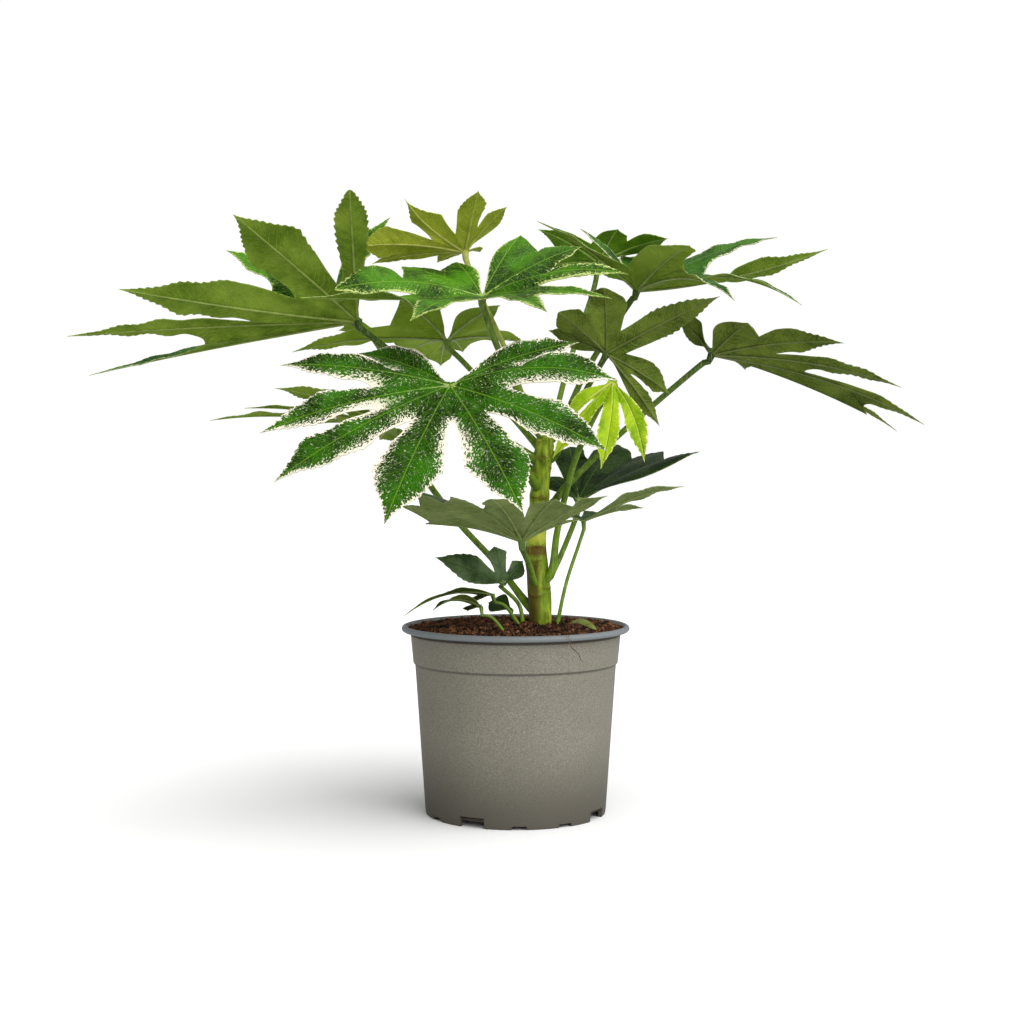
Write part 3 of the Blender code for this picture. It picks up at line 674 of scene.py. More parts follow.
GRASS = StalkFinish("Grass", srgb(150, 160, 80), srgb(126, 150, 70))
PEAT = EarthFinish("Peat", srgb(20, 13, 8), srgb(70, 42, 26))
CRUMBS = EarthFinish("Crumbs", srgb(22, 13, 8), srgb(150, 104, 74), 220.0)
COIR = EarthFinish("Coir", srgb(70, 38, 22), srgb(172, 120, 84), 120.0)


class StalkLook(Enum):
    """The colours that the stalks come in."""

    GREEN = StalkFinish("Green stalk", srgb(120, 158, 34), srgb(104, 134, 50))
    DARK = StalkFinish("Dark stalk", srgb(104, 138, 30), srgb(62, 90, 26))
    YELLOW = StalkFinish("Yellow stalk", srgb(140, 170, 50), srgb(196, 202, 104))


@dataclass(frozen=True)
class Lobe:
    """One finger of a blade.

    Attributes:
        tip: where it ends, from the hub.
        half_width: its widest half.
        web: how far the skin joins it to the next lobe, as a share of the shorter of the two.
        roll: degrees that its outer part turns about its rib.
        bend: how far its middle is bent off the straight line to its tip.
        belly: where it is widest, as a share of its length.
        point: how pointed its end is: less for a rounder one.
    """

    tip: Point
    half_width: float
    web: float = 0.38
    roll: float = 0.0
    bend: Point = (0.0, 0.0, 0.0)
    belly: float = 0.58
    point: float = 1.2


@dataclass(frozen=True)
class Leaf:
    """One leaf: its lobes go round the hub anticlockwise, seen from above.

    Attributes:
        name: the stem of its solids' names.
        hub: where the lobes meet.
        look: the finishes that it takes.
        radius: its stalk's radius.
        root: the height on the trunk where its stalk starts, or None in the soil.
        route: points on the stalk's way.
        facing: the way its top faces, where the lobes don't give it.
        arch: how far its ribs bow upwards, as a share of the usual.
        stalk: its stalk's colours.
    """

    name: str
    hub: Point
    lobes: tuple[Lobe, ...]
    look: Look
    radius: float
    root: float | None
    route: tuple[Point, ...] = ()
    facing: Point | None = None
    arch: float = 1.0
    stalk: StalkLook = StalkLook.GREEN


LEAVES = (
    Leaf("front_variegated", (-49, -150, 351), (
        Lobe((-74, 65, 27), 18, 0.50), Lobe((-127, 5, 15), 15, 0.47), Lobe((-137, -35, -36), 18, 0.42),
        Lobe((-123, -65, -71), 21, 0.36), Lobe((-43, -90, -100), 27, 0.31), Lobe((54, -80, -93), 25, 0.33),
        Lobe((115, -45, -49), 21, 0.37), Lobe((125, 0, 3), 22, 0.50, bend=(0, 0, 9)), Lobe((98, 55, 35), 15),
    ), Look.VARIEGATED, 2.6, 268, ((-12, -60, 318), (-38, -122, 338))),
    Leaf("upper_middle", (-27, -45, 426), (
        Lobe((-22, 45, 32), 9, 0.94), Lobe((-66, 22, 26), 14, 0.97),
        Lobe((-113, -58, 0), 18, 0.50, -32, (0, 0, 4), 0.55, 0.7),
        Lobe((-132, -115, -11), 14, 0.62, 30, (0, 0, -12)),
        Lobe((-50, -140, -30), 13, 0.40), Lobe((50, -120, -22), 11, 0.50), Lobe((101, -60, -7), 9, 0.42),
        Lobe((116, -25, 15), 10, 0.50, 20, (0, 0, 7)), Lobe((101, 0, 21), 13, 0.62, 25, belly=0.45),
        Lobe((81, 20, 42), 22, 0.93), Lobe((31, 45, 54), 9),
    ), Look.BRIGHT, 2.6, 314, ((-14, -38, 384),)),
    Leaf("big_left", (-128, -35, 407), (
        Lobe((-224, 25, -43), 12, 0.55, -55), Lobe((-229, -25, -14), 15, 0.45, -20),
        Lobe((-177, -75, 19), 25, 0.42, bend=(0, 0, -5), belly=0.50),
        Lobe((-84, -105, 72), 28, 0.30, belly=0.53), Lobe((3, -100, 91), 13, belly=0.72, point=0.6),
    ), Look.OLIVE, 2.7, 290, ((-38, -16, 332), (-105, -28, 385)), (-0.2, 0.6, 0.75), 0.25, StalkLook.DARK),
    Leaf("rear_left", (-165, 40, 420), (
        Lobe((58, 5, 81), 13), Lobe((6, 70, 20), 20), Lobe((-78, -20, 50), 22, 0.75, belly=0.5),
        Lobe((-60, -15, 5), 20),
    ), Look.BRIGHT, 2.0, 280, ((-52, 30, 335), (-102, 32, 372), (-130, 34, 406))),
    Leaf("young_top", (-42, 10, 468), (
        Lobe((12, 40, 4), 7), Lobe((-26, 50, -4), 7), Lobe((-80, 30, -7), 10, 0.60),
        Lobe((-87, -10, 3), 18, 0.42, 25, belly=0.62, point=0.8),
        Lobe((-49, -30, 40), 18, 0.32, bend=(-7, 0, -5), belly=0.42, point=2.2),
        Lobe((12, -50, 43), 12, 0.48), Lobe((35, -30, 33), 9),
    ), Look.YOUNG, 2.2, 322, ((-8, 4, 385), (-30, 6, 432)), stalk=StalkLook.YELLOW),
    Leaf("left_rear", (-60, 80, 399), (
        Lobe((47, -60, 25), 16, 0.70), Lobe((70, 80, 1), 13, 0.55), Lobe((11, 110, -5), 18, 0.80),
        Lobe((-10, 110, -18), 18, 0.80), Lobe((-43, 100, -10), 20, 0.72), Lobe((-98, 30, 10), 26, 0.60, 30),
        Lobe((-133, -20, -12), 14, 0.85, 15), Lobe((-37, -60, 30), 20),
    ), Look.BACKLIT_OLIVE, 2.4, 302, ((-40, 60, 373),)),
    Leaf("low_left_rear", (-95, -20, 318), (
        Lobe((-25, 110, -7), 14, 0.45, 40), Lobe((-90, 80, 5), 14), Lobe((-159, 20, 9), 15),
        Lobe((-123, -30, 18), 13), Lobe((-94, -60, 33), 13, roll=20),
    ), Look.OLIVE, 2.6, 165, ((-18, 24, 208), (-50, 22, 243), (-80, 2, 285)), (0.0, 0.05, 1.0)),
    Leaf("far_right", (163, 0, 382), (
        Lobe((24, -42, 23), 15, 0.97, belly=0.5), Lobe((100, -52, 6), 17, 0.46, -25, belly=0.38),
        Lobe((154, -15, -28), 10, 0.50, -15), Lobe((184, 30, -58), 10, 0.80, -20),
        Lobe((174, 90, -63), 9, 0.45), Lobe((40, 90, -9), 14), Lobe((-25, 30, 31), 12, roll=50),
    ), Look.DUSTY, 2.4, 250, ((42, 0, 272), (85, 0, 314), (150, 0, 370)), stalk=StalkLook.DARK),
    Leaf("right_middle", (74, -30, 381), (
        Lobe((-47, 20, 20), 10, 0.60), Lobe((-40, -30, 31), 17, 0.76, belly=0.64, point=0.7),
        Lobe((-4, -35, 50), 18, 0.45, belly=0.66, point=0.6), Lobe((86, -50, 42), 12, 0.30, belly=0.48),
        Lobe((49, -20, -33), 12, 0.45, -20), Lobe((41, -30, -60), 7, roll=-20),
    ), Look.DUSTY, 2.4, 292, ((52, -6, 340),), stalk=StalkLook.DARK),
    Leaf("young_drooping", (77, -62, 357), (
        Lobe((-36, -10, -29), 10, 0.45), Lobe((-48, -13, -61), 9, 0.30),
        Lobe((-12, -53, -69), 9, 0.30, bend=(5, 0, 0)), Lobe((22, -48, -64), 8, bend=(6, 0, 3)),
    ), Look.YOUNG, 2.6, 192, ((34, -8, 232), (41, -14, 265), (50, -24, 298), (66, -44, 335))),
    Leaf("upper_right", (102, 20, 437), (
        Lobe((-84, 5, 58), 14), Lobe((35, -95, 26), 25, 0.76),
        Lobe((67, -120, -19), 15, 0.45, bend=(2, 0, 10)), Lobe((125, -85, -20), 14, 0.50, bend=(4, 0, 14)),
        Lobe((157, -20, 32), 20, 0.42, -30, (0, 0, -18), 0.42), Lobe((127, 60, 51), 13),
        Lobe((11, 110, 35), 20, 0.60), Lobe((-46, 40, 56), 12),
    ), Look.LIGHT, 2.5, 310, ((60, 16, 370), (95, 19, 425)), stalk=StalkLook.DARK),
    Leaf("upper_rear", (74, 110, 470), (
        Lobe((72, 70, -5), 20, 0.50), Lobe((34, 90, -12), 20, 0.50), Lobe((-50, 40, -1), 22, 0.70),
        Lobe((-54, -30, 25), 12, 0.60), Lobe((15, -40, 24), 18, 0.84), Lobe((59, -30, 17), 20),
    ), Look.BACKLIT_BRIGHT, 2.3, 300, ((44, 50, 370), (68, 98, 440))),
    Leaf("right_rear_low", (54, 45, 259), (
        Lobe((101, -25, 42), 18, 0.86, 10), Lobe((78, 62, 42), 22, 0.88, point=0.8),
        Lobe((40, 100, 48), 22, 0.88, point=0.8), Lobe((-5, 75, 46), 20, 0.86, point=0.8),
        Lobe((-25, 25, 20), 18, point=0.8),
    ), Look.DARK, 2.3, 186, ((36, 20, 208), (50, 36, 240))),
    Leaf("low_front", (5, -35, 229), (
        Lobe((-80, 30, 12), 17, 0.92, point=0.7), Lobe((-97, -10, 28), 20, 0.92, belly=0.66, point=0.7),
        Lobe((-82, -50, 41), 20, 0.92, belly=0.66, point=0.7), Lobe((-55, -90, 38), 18, 0.80, belly=0.62),
        Lobe((-24, -108, 37), 18, 0.56), Lobe((26, -80, 36), 17, 0.88), Lobe((68, -30, 37), 16, 0.74),
        Lobe((46, 10, 16), 11),
    ), Look.GREY_SHEEN, 2.4, 186, ((12, -19, 206),)),
    Leaf("low_right", (57, 10, 243), (
        Lobe((79, -50, 30), 12, 0.50, -20), Lobe((53, 20, 10), 11, 0.38, -20), Lobe((16, 22, 6), 12),
        Lobe((-32, 12, 8), 12),
    ), Look.GREY_SHEEN, 1.5, None, ((34, -2, 152), (42, 2, 190), (53, 8, 223))),
    Leaf("small_low", (-10, -12, 192), (
        Lobe((16, 14, 18), 8), Lobe((-8, 10, 30), 13, 0.42, point=0.8), Lobe((-56, -18, 23), 12, belly=0.5),
    ), Look.GREY_SHEEN, 1.7, None, ((6, -12, 152), (3, -12, 174))),
    Leaf("soil_long", (-19, -32, 185), (
        Lobe((-19, 37, -12), 9), Lobe((-71, -23, -16), 11, bend=(0, 0, 7), belly=0.45),
    ), Look.DARK, 1.4, None, ((4, -21, 156), (-8, -26, 174))),
    Leaf("soil_left", (-28, -46, 176), (
        Lobe((-12, 26, -6), 8), Lobe((-38, -24, -1), 12, bend=(0, 0, 7), belly=0.5),
    ), Look.DARK, 1.3, None, ((-10, -48, 156), (-19, -47, 167))),
    Leaf("soil_small", (-3, 2, 169), (Lobe((-20, 10, 5), 12),), Look.DARK, 1.1, None, ((2, 0, 156),),
         (0.1, -0.6, 0.8)),
)

GRASS_BLADE = ((47, -6, 159.5), (53, -18, 161.5), (59, -32, 160.5), (65, -46, 157.5))
ROOTLET = ((37, -80, 158.5), (41, -86.5, 158.6), (43, -90.5, 149), (48.5, -88, 143.5), (50.5, -82, 139),
           (53, -76, 134.5))

TRUNK_POINTS = (
    (21.0, 2.0, 118.0), (21.0, 2.0, 150.0), (20.0, 2.0, 178.0), (18.5, 1.5, 200.0), (17.5, 1.0, 209.0),
    (17.0, 1.0, 218.0), (17.0, 1.0, 228.0), (17.0, 1.0, 235.0), (18.0, 0.5, 243.0), (19.5, 0.0, 256.0),
    (20.0, 0.0, 264.0), (20.5, 0.0, 272.0), (22.0, 0.0, 288.0), (23.0, 0.0, 297.0), (24.0, 0.0, 306.0),
    (25.0, 0.0, 318.0), (26.0, 0.0, 328.0),
)
TRUNK_RADII = (8.5, 9.2, 9.8, 9.4, 9.7, 8.7, 8.3, 9.1, 8.0, 7.8, 8.9, 7.7, 7.6, 8.6, 7.4, 6.6, 3.0)


@dataclass
class MeshParts:
    """What a mesh is made from: points in millimetres, faces, and values on either.

    Attributes:
        points: the points.
        faces: each face's point numbers, anticlockwise from outside.
        slots: each face's material number, or none for all the first.
        point_values: named numbers or vectors at the points.
        face_values: named numbers on the faces.
    """

    points: np.ndarray
    faces: list[Sequence[int]]
    slots: list[int] = field(default_factory=list)
    point_values: dict[str, np.ndarray] = field(default_factory=dict)
    face_values: dict[str, Sequence[float]] = field(default_factory=dict)

    def build(self, name: str, materials: Iterable[bpy.types.Material],
              sharp: float = 50.0) -> bpy.types.Object:
        """Return the object, at the origin, smooth but for edges past an angle."""
        mesh = bpy.data.meshes.new(name)
        mesh.from_pydata((self.points * MM).tolist(), [], [list(face) for face in self.faces])
        for label, values in self.point_values.items():
            add_values(mesh, label, "POINT", values)
        for label, values in self.face_values.items():
            add_values(mesh, label, "FACE", np.asarray(values, float))
        for material in materials:
            mesh.materials.append(material)
        if self.slots:
            mesh.polygons.foreach_set("material_index", self.slots)
        mesh.shade_smooth()
        mesh.set_sharp_from_angle(angle=math.radians(sharp))
        mesh.update()
        made = bpy.data.objects.new(name, mesh)
        bpy.context.scene.collection.objects.link(made)
        return made


def add_values(mesh: bpy.types.Mesh, label: str, domain: str, values: np.ndarray) -> None:
    """Store numbers, or vectors of three, on a mesh's points or faces."""
    if values.ndim == 1:
        mesh.attributes.new(label, "FLOAT", domain).data.foreach_set("value", values.astype(np.float32))
    else:
        flat = values.astype(np.float32).ravel()
        mesh.attributes.new(label, "FLOAT_VECTOR", domain).data.foreach_set("vector", flat)


def keep(piece: bpy.types.Object, slot: str, *replaced: str) -> bpy.types.Object:
    """Let a piece ride with the object, and hide the solids that it stands for."""
    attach(piece, BODY)
    if replaced:
        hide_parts(*replaced)
    LOG.info("%s: %d faces", piece.name, len(piece.data.polygons))
    return piece


def settled(piece: bpy.types.Object) -> bpy.types.Mesh:
    """Return a new mesh of a piece as its modifiers leave it, and take them off the piece."""
    bpy.context.view_layer.update()
    graph = bpy.context.evaluated_depsgraph_get()
    mesh = bpy.data.meshes.new_from_object(piece.evaluated_get(graph))
    piece.modifiers.clear()
    return mesh


class NodeRecipe:
    """A Geometry Nodes tree with named inputs, run once on an object."""

    def __init__(self, name: str, inputs: Sequence[tuple[str, str, float]]) -> None:
        """Start a tree with a geometry input and the given (name, socket type, default) inputs."""
        self.group = bpy.data.node_groups.new(name, "GeometryNodeTree")
        face = self.group.interface
        face.new_socket("Geometry", in_out="INPUT", socket_type="NodeSocketGeometry")
        self.sockets = {}
        for label, kind, default in inputs:
            socket = face.new_socket(label, in_out="INPUT", socket_type=kind)
            if kind != "NodeSocketMaterial":
                socket.default_value = default
            self.sockets[label] = socket.identifier
        face.new_socket("Geometry", in_out="OUTPUT", socket_type="NodeSocketGeometry")
        self.source = self.group.nodes.new("NodeGroupInput")
        self.result = self.group.nodes.new("NodeGroupOutput")

    def input(self, label: str) -> bpy.types.NodeSocket:
        """Return one of the tree's inputs."""
        return self.source.outputs[label]

    def add(self, kind: str, inputs: dict | None = None, output: int | str = 0,
            **settings: object) -> bpy.types.NodeSocket:
        """Add a node with its settings and inputs, and return one of its outputs."""
        made = self.group.nodes.new(kind)
        for name, value in settings.items():
            setattr(made, name, value)
        for place, value in (inputs or {}).items():
            if isinstance(value, bpy.types.NodeSocket):
                self.group.links.new(value, made.inputs[place])
            else:
                made.inputs[place].default_value = value
        return made.outputs[output]

    def close(self, geometry: bpy.types.NodeSocket, material: bpy.types.NodeSocket) -> None:
        """End the tree: real geometry, its material set."""
        real = self.add("GeometryNodeRealizeInstances", {0: geometry})
        self.group.links.new(self.add("GeometryNodeSetMaterial", {"Geometry": real, "Material": material}),
                             self.result.inputs[0])

    def run(self, guide: bpy.types.Object, name: str, values: dict[str, object]) -> bpy.types.Object:
        """Run the tree on a guide object.

        Args:
            guide: the object that carries the points or surface; it is removed.
            name: the finished piece's name.
            values: what the tree's inputs are set to.

        Returns:
            The finished piece, a plain mesh at the origin.
        """
        modifier = guide.modifiers.new(self.group.name, "NODES")
        modifier.node_group = self.group
        for label, value in values.items():
            modifier[self.sockets[label]] = value
        mesh = settled(guide)
        bpy.data.objects.remove(guide)
        mesh.name = name
        made = bpy.data.objects.new(name, mesh)
        bpy.context.scene.collection.objects.link(made)
        return made


class TubeMaker:
    """Round tubes along lines of points, each with its own thickness: stalks, ribs and rootlets."""

    def __init__(self) -> None:
        """Lay out the Geometry Nodes tree."""
        self.recipe = NodeRecipe("Tapered tubes", (
            ("Sides", "NodeSocketInt", 12), ("Material", "NodeSocketMaterial", 0.0)))
        recipe = self.recipe
        curve = recipe.add("GeometryNodeMeshToCurve", {0: recipe.input("Geometry")})
        radius = recipe.add("GeometryNodeInputNamedAttribute", {"Name": "thickness"}, data_type="FLOAT")
        ring = recipe.add("GeometryNodeCurvePrimitiveCircle",
                          {"Resolution": recipe.input("Sides"), "Radius": 1.0})
        tube = recipe.add("GeometryNodeCurveToMesh",
                          {"Curve": curve, "Profile Curve": ring, "Scale": radius, "Fill Caps": True})
        soft = recipe.add("GeometryNodeSetShadeSmooth", {"Geometry": tube})
        recipe.close(soft, recipe.input("Material"))

    def build(self, name: str, lines: Sequence[tuple[np.ndarray, np.ndarray]], sides: int,
              material: bpy.types.Material) -> bpy.types.Object:
        """Return one piece of tubes.

        Args:
            name: the piece's name.
            lines: for each tube its points and its radii, in millimetres.
            sides: how many sides each tube has.
            material: the finish.

        Returns:
            The piece, all its tubes in one mesh.
        """
        points, edges, radii, ways = [], [], [], []
        for line, thickness in lines:
            start = len(points)
            points += (np.asarray(line) * MM).tolist()
            edges += [(start + k, start + k + 1) for k in range(len(line) - 1)]
            radii += (np.asarray(thickness) * MM).tolist()
            ways += np.linspace(0.0, 1.0, len(line)).tolist()
        mesh = bpy.data.meshes.new(name + "_guide")
        mesh.from_pydata(points, edges, [])
        add_values(mesh, "thickness", "POINT", np.array(radii))
        add_values(mesh, "way", "POINT", np.array(ways))
        guide = bpy.data.objects.new(name + "_guide", mesh)
        bpy.context.scene.collection.objects.link(guide)
        return self.recipe.run(guide, name, {"Sides": sides, "Material": material})


def smooth_way(knots: Sequence[Sequence[float]], count: int) -> np.ndarray:
    """Return evenly spaced points on a smooth curve through the knots."""
    knots = [np.array(knot, float) for knot in knots]
    knots = [2 * knots[0] - knots[1], *knots, 2 * knots[-1] - knots[-2]]
    fine = []
    for a, b, c, d in zip(knots, knots[1:], knots[2:], knots[3:]):
        for t in np.linspace(0.0, 1.0, 24, endpoint=False):
            linear, square, cube = c - a, 2 * a - 5 * b + 4 * c - d, 3 * b - a - 3 * c + d
            fine.append(b + 0.5 * (linear * t + square * t ** 2 + cube * t ** 3))
    fine.append(knots[-2])
    path = np.array(fine)
    steps = np.concatenate([[0.0], np.cumsum(np.linalg.norm(np.diff(path, axis=0), axis=1))])
    marks = np.linspace(0.0, steps[-1], count)
    return np.stack([np.interp(marks, steps, path[:, axis]) for axis in range(3)], axis=1)


def trunk_middle(height: float) -> np.ndarray:
    """Return the trunk's middle line at a height."""
    points = np.array(TRUNK_POINTS)
    return np.array([np.interp(height, points[:, 2], points[:, axis]) for axis in range(3)])


@dataclass
class BladeForm:
    """The ribs, webs and margins of one blade, in millimetres from its hub.

    Attributes:
        leaf: the leaf.
        rise: how far the two handles of a rib's curve are lifted, as a share of its length.
        edge_lift: how far the edges rise above the rib, as a share of the half width.
        web_dip: how far a web sags, as a share of its reach.
        open_turn_limit: the most degrees between an outer lobe and the blade's open side.
        seat_margin: the radius of the ring that the stalk meets, in stalk radii.
    """

    leaf: Leaf
    rise: Span = (0.06, 0.07)
    edge_lift: float = 0.12
    web_dip: float = 0.06
    open_turn_limit: float = 75.0
    seat_margin: float = 1.5

    def __post_init__(self) -> None:
        """Work out the blade's facing, its seat on the stalk and the turn of its open sides."""
        self.tips = [np.array(lobe.tip, float) for lobe in self.leaf.lobes]
        self.lengths = [float(np.linalg.norm(tip)) for tip in self.tips]
        if self.leaf.facing is None:
            pairs = zip(self.tips, self.tips[1:])
            self.normal = unit(sum(np.cross(unit(a), unit(b)) for a, b in pairs))
        else:
            self.normal = unit(np.array(self.leaf.facing, float))
        self.seat = self.leaf.radius * self.seat_margin
        spread = sum(self.turn_between(k) for k in range(len(self.tips) - 1))
        self.open_turn = min(self.open_turn_limit, 0.4 * (360.0 - spread))

    def turn_between(self, first: int) -> float:
        """Return the turn about the facing from a lobe to the next, in degrees."""
        flat = [unit(tip - np.dot(tip, self.normal) * self.normal) for tip in self.tips[first:first + 2]]
        return math.degrees(math.atan2(np.dot(np.cross(*flat), self.normal), np.dot(*flat))) % 360.0

    def rib(self, lobe: int, share: np.ndarray) -> np.ndarray:
        """Return the rib's points at shares of the lobe's length."""
        t = np.clip(np.atleast_1d(share), 0.0, 1.0)[:, None]
        tip, lift = self.tips[lobe], self.leaf.arch * self.lengths[lobe] * self.normal
        bend = np.array(self.leaf.lobes[lobe].bend)
        near, far = tip / 3 + self.rise[0] * lift + bend, tip * 2 / 3 + self.rise[1] * lift + bend
        return 3 * (1 - t) ** 2 * t * near + 3 * (1 - t) * t ** 2 * far + t ** 3 * tip

    def across(self, lobe: int, share: np.ndarray) -> tuple[np.ndarray, np.ndarray]:
        """Return the directions across the lobe, towards the next one, and out of its top side."""
        share = np.atleast_1d(share)
        along = unit(self.rib(lobe, share + 0.01) - self.rib(lobe, share - 0.01))
        shape = self.leaf.lobes[lobe]
        turn = np.radians(shape.roll * np.clip((share - 0.1) / 0.4, 0, 1))
        axis = unit(self.tips[lobe])
        level = np.cross(axis, self.normal)
        stay = axis * np.dot(axis, self.normal)
        up = stay + np.outer(np.cos(turn), self.normal - stay) + np.outer(np.sin(turn), level)
        up = unit(up - np.sum(up * along, axis=1, keepdims=True) * along)
        return np.cross(up, along), up

    def half_width(self, lobe: int, beside: int | None, share: np.ndarray) -> np.ndarray:
        """Return the lobe's half width at shares of its length, kept clear of the lobe beside it."""
        share = np.atleast_1d(share)
        shape = self.leaf.lobes[lobe]
        skew = math.log(0.5) / math.log(shape.belly)
        belly = np.sin(np.pi * np.clip(share, 0, 1) ** skew)
        width = shape.half_width * np.clip(belly, 0, None) ** shape.point
        if beside is not None:
            other = self.rib(beside, share * self.lengths[lobe] / self.lengths[beside])
            width = np.minimum(width, 0.40 * np.linalg.norm(self.rib(lobe, share) - other, axis=1))
        return width

    def reach(self, first: int) -> float:
        """Return how far from the hub the skin joins a lobe to the next one."""
        return self.leaf.lobes[first].web * min(self.lengths[first], self.lengths[first + 1])

    def web(self, first: int, radius: np.ndarray) -> np.ndarray:
        """Return the web's points between a lobe and the next at distances from the hub."""
        middle = sum(self.rib(k, radius / self.lengths[k]) for k in (first, first + 1)) / 2
        reach = self.reach(first)
        dip = self.web_dip * reach * np.sin(math.pi / 2 * np.minimum(radius / reach, 1.0))
        return middle - np.outer(dip, self.normal)

    def on_seat(self, point: np.ndarray) -> np.ndarray:
        """Return the point brought onto the flat ring that the stalk meets."""
        return unit(point - np.dot(point, self.normal) * self.normal) * self.seat

    def turned(self, vector: np.ndarray, degrees: float) -> np.ndarray:
        """Return the vector turned about the blade's facing."""
        angle = math.radians(degrees)
        stay = self.normal * np.dot(self.normal, vector)
        return stay + (vector - stay) * math.cos(angle) + np.cross(self.normal, vector) * math.sin(angle)


@dataclass
class FineBlade:
    """The finished blade: a thin toothed sheet, quilted between its veins.

    Attributes:
        leaf: the leaf.
        thickness: the blade's thickness.
        columns: how many columns of faces lie between a rib and its edge.
        web_step, free_step: the length of a face along a web and along a free edge.
        tooth_pitch, tooth_depth: the distance between teeth, and how deep the deepest is.
        quilt: how far the skin puffs up between two side veins.
        ripple: how far the edges wave.
    """

    leaf: Leaf
    thickness: float = 0.5
    columns: int = 7
    web_step: float = 2.0
    free_step: float = 1.15
    tooth_pitch: float = 6.5
    tooth_depth: float = 1.9
    quilt: float = 0.35
    ripple: float = 1.3

    def __post_init__(self) -> None:
        """Start with an empty sheet."""
        self.form = BladeForm(self.leaf)
        self.hub = np.array(self.leaf.hub, float)
        self.points: list[np.ndarray] = [np.zeros(3)]
        self.flow: list[tuple[float, float, float]] = [(0.0, 0.0, 40.0)]
        self.faces: list[tuple[int, ...]] = []
        self.sectors: list[float] = []
        self.drops: list[float] = []

    def _add(self, points: np.ndarray, flow: np.ndarray) -> list[int]:
        """Add points with their places on the blade, and return their numbers."""
        start = len(self.points)
        self.points += list(points)
        self.flow += [tuple(row) for row in flow]
        return list(range(start, start + len(points)))

    def _teeth(self, lobe: int, share: np.ndarray, split: float, width: np.ndarray) -> np.ndarray:
        """Return how far the toothed margin steps out and in along a lobe."""
        length = self.form.lengths[lobe]
        phase = (share * length - 0.6 * width) / self.tooth_pitch
        phase = phase + 0.35 * np.sin(share * 9.0 + lobe)
        saw = phase % 1.0
        tooth = np.where(saw < 0.8, saw / 0.8, (1 - saw) / 0.2) - 0.5
        depth = min(self.tooth_depth, 0.013 * length + 0.2)
        strength = smooth(split + 0.12, split + 0.3, share) * (1 - smooth(0.93, 0.995, share))
        return depth * tooth * strength * np.clip(width / 6.0, 0.15, 1.0)

    def _margin(self, lobe: int, beside: int | None, side: int, share: np.ndarray,
                split: float) -> tuple[np.ndarray, np.ndarray]:
        """Return the free edge's points and the half width there."""
        width = self.form.half_width(lobe, beside, share)
        width = width * (1 - 0.3 * smooth(0.8, 1.0, share))
        out, up = self.form.across(lobe, share)
        reach = np.clip(width + self._teeth(lobe, share, split, width), 0.15, None)
        wave = np.sin(share * self.form.lengths[lobe] / 5.2 + 1.7 * lobe + side)
        wave = wave * smooth(split, split + 0.2, share)
        lift = self.form.edge_lift * width + self.ripple * wave * np.clip(width / 15, 0, 1)
        return self.form.rib(lobe, share) + side * out * reach[:, None] + up * lift[:, None], reach

    def _webs(self, rows: int) -> list[tuple[np.ndarray, np.ndarray, list[int]]]:
        """Add the lines midway between neighbouring ribs: for each its radii, points and numbers."""
        webs = []
        for first in range(len(self.leaf.lobes) - 1):
            radii = np.linspace(self.form.seat, self.form.reach(first), rows)
            line = self.form.web(first, radii)
            line[0] = self.form.on_seat(line[0])
            beside = self.form.rib(first, radii / self.form.lengths[first])
            away = np.linalg.norm(line - beside, axis=1)
            flow = np.stack([radii, away, self.form.reach(first) - radii], axis=1)
            webs.append((radii, line, self._add(line, flow)))
        return webs

    def _joined_edge(self, lobe: int, side: int, free: np.ndarray, split: float,
                     web: tuple[np.ndarray, np.ndarray, list[int]]) -> tuple[np.ndarray, list[int]]:
        """Return the points and numbers of a half lobe's edge, along its web and on to its tip."""
        _, line, numbers = web
        edge, width = self._margin(lobe, lobe + side, side, free, split)
        end, _ = self._margin(lobe, lobe + side, side, np.array([split]), split)
        fade = np.exp(-(free - split) / 0.07)[:, None]
        edge = edge + (line[-1] - end[0]) * fade
        flow = np.stack([free * self.form.lengths[lobe], width, 0 * free], axis=1)
        return np.concatenate([line, edge]), numbers + self._add(edge, flow)

    def _open_edge(self, lobe: int, side: int, shares: np.ndarray,
                   split: float) -> tuple[np.ndarray, list[int]]:
        """Return the points and numbers of a half lobe's edge where no web joins it."""
        count = len(self.leaf.lobes)
        opposite = (lobe + side) % count if count > 1 else None
        edge, width = self._margin(lobe, opposite, side, shares[1:], split)
        start = self.form.on_seat(self.form.turned(self.form.tips[lobe], side * self.form.open_turn))
        edge = np.concatenate([start[None], edge])
        width = np.concatenate([[self.form.seat], width])
        flow = np.stack([shares * self.form.lengths[lobe], width, 0 * width], axis=1)
        return edge, self._add(edge, flow)

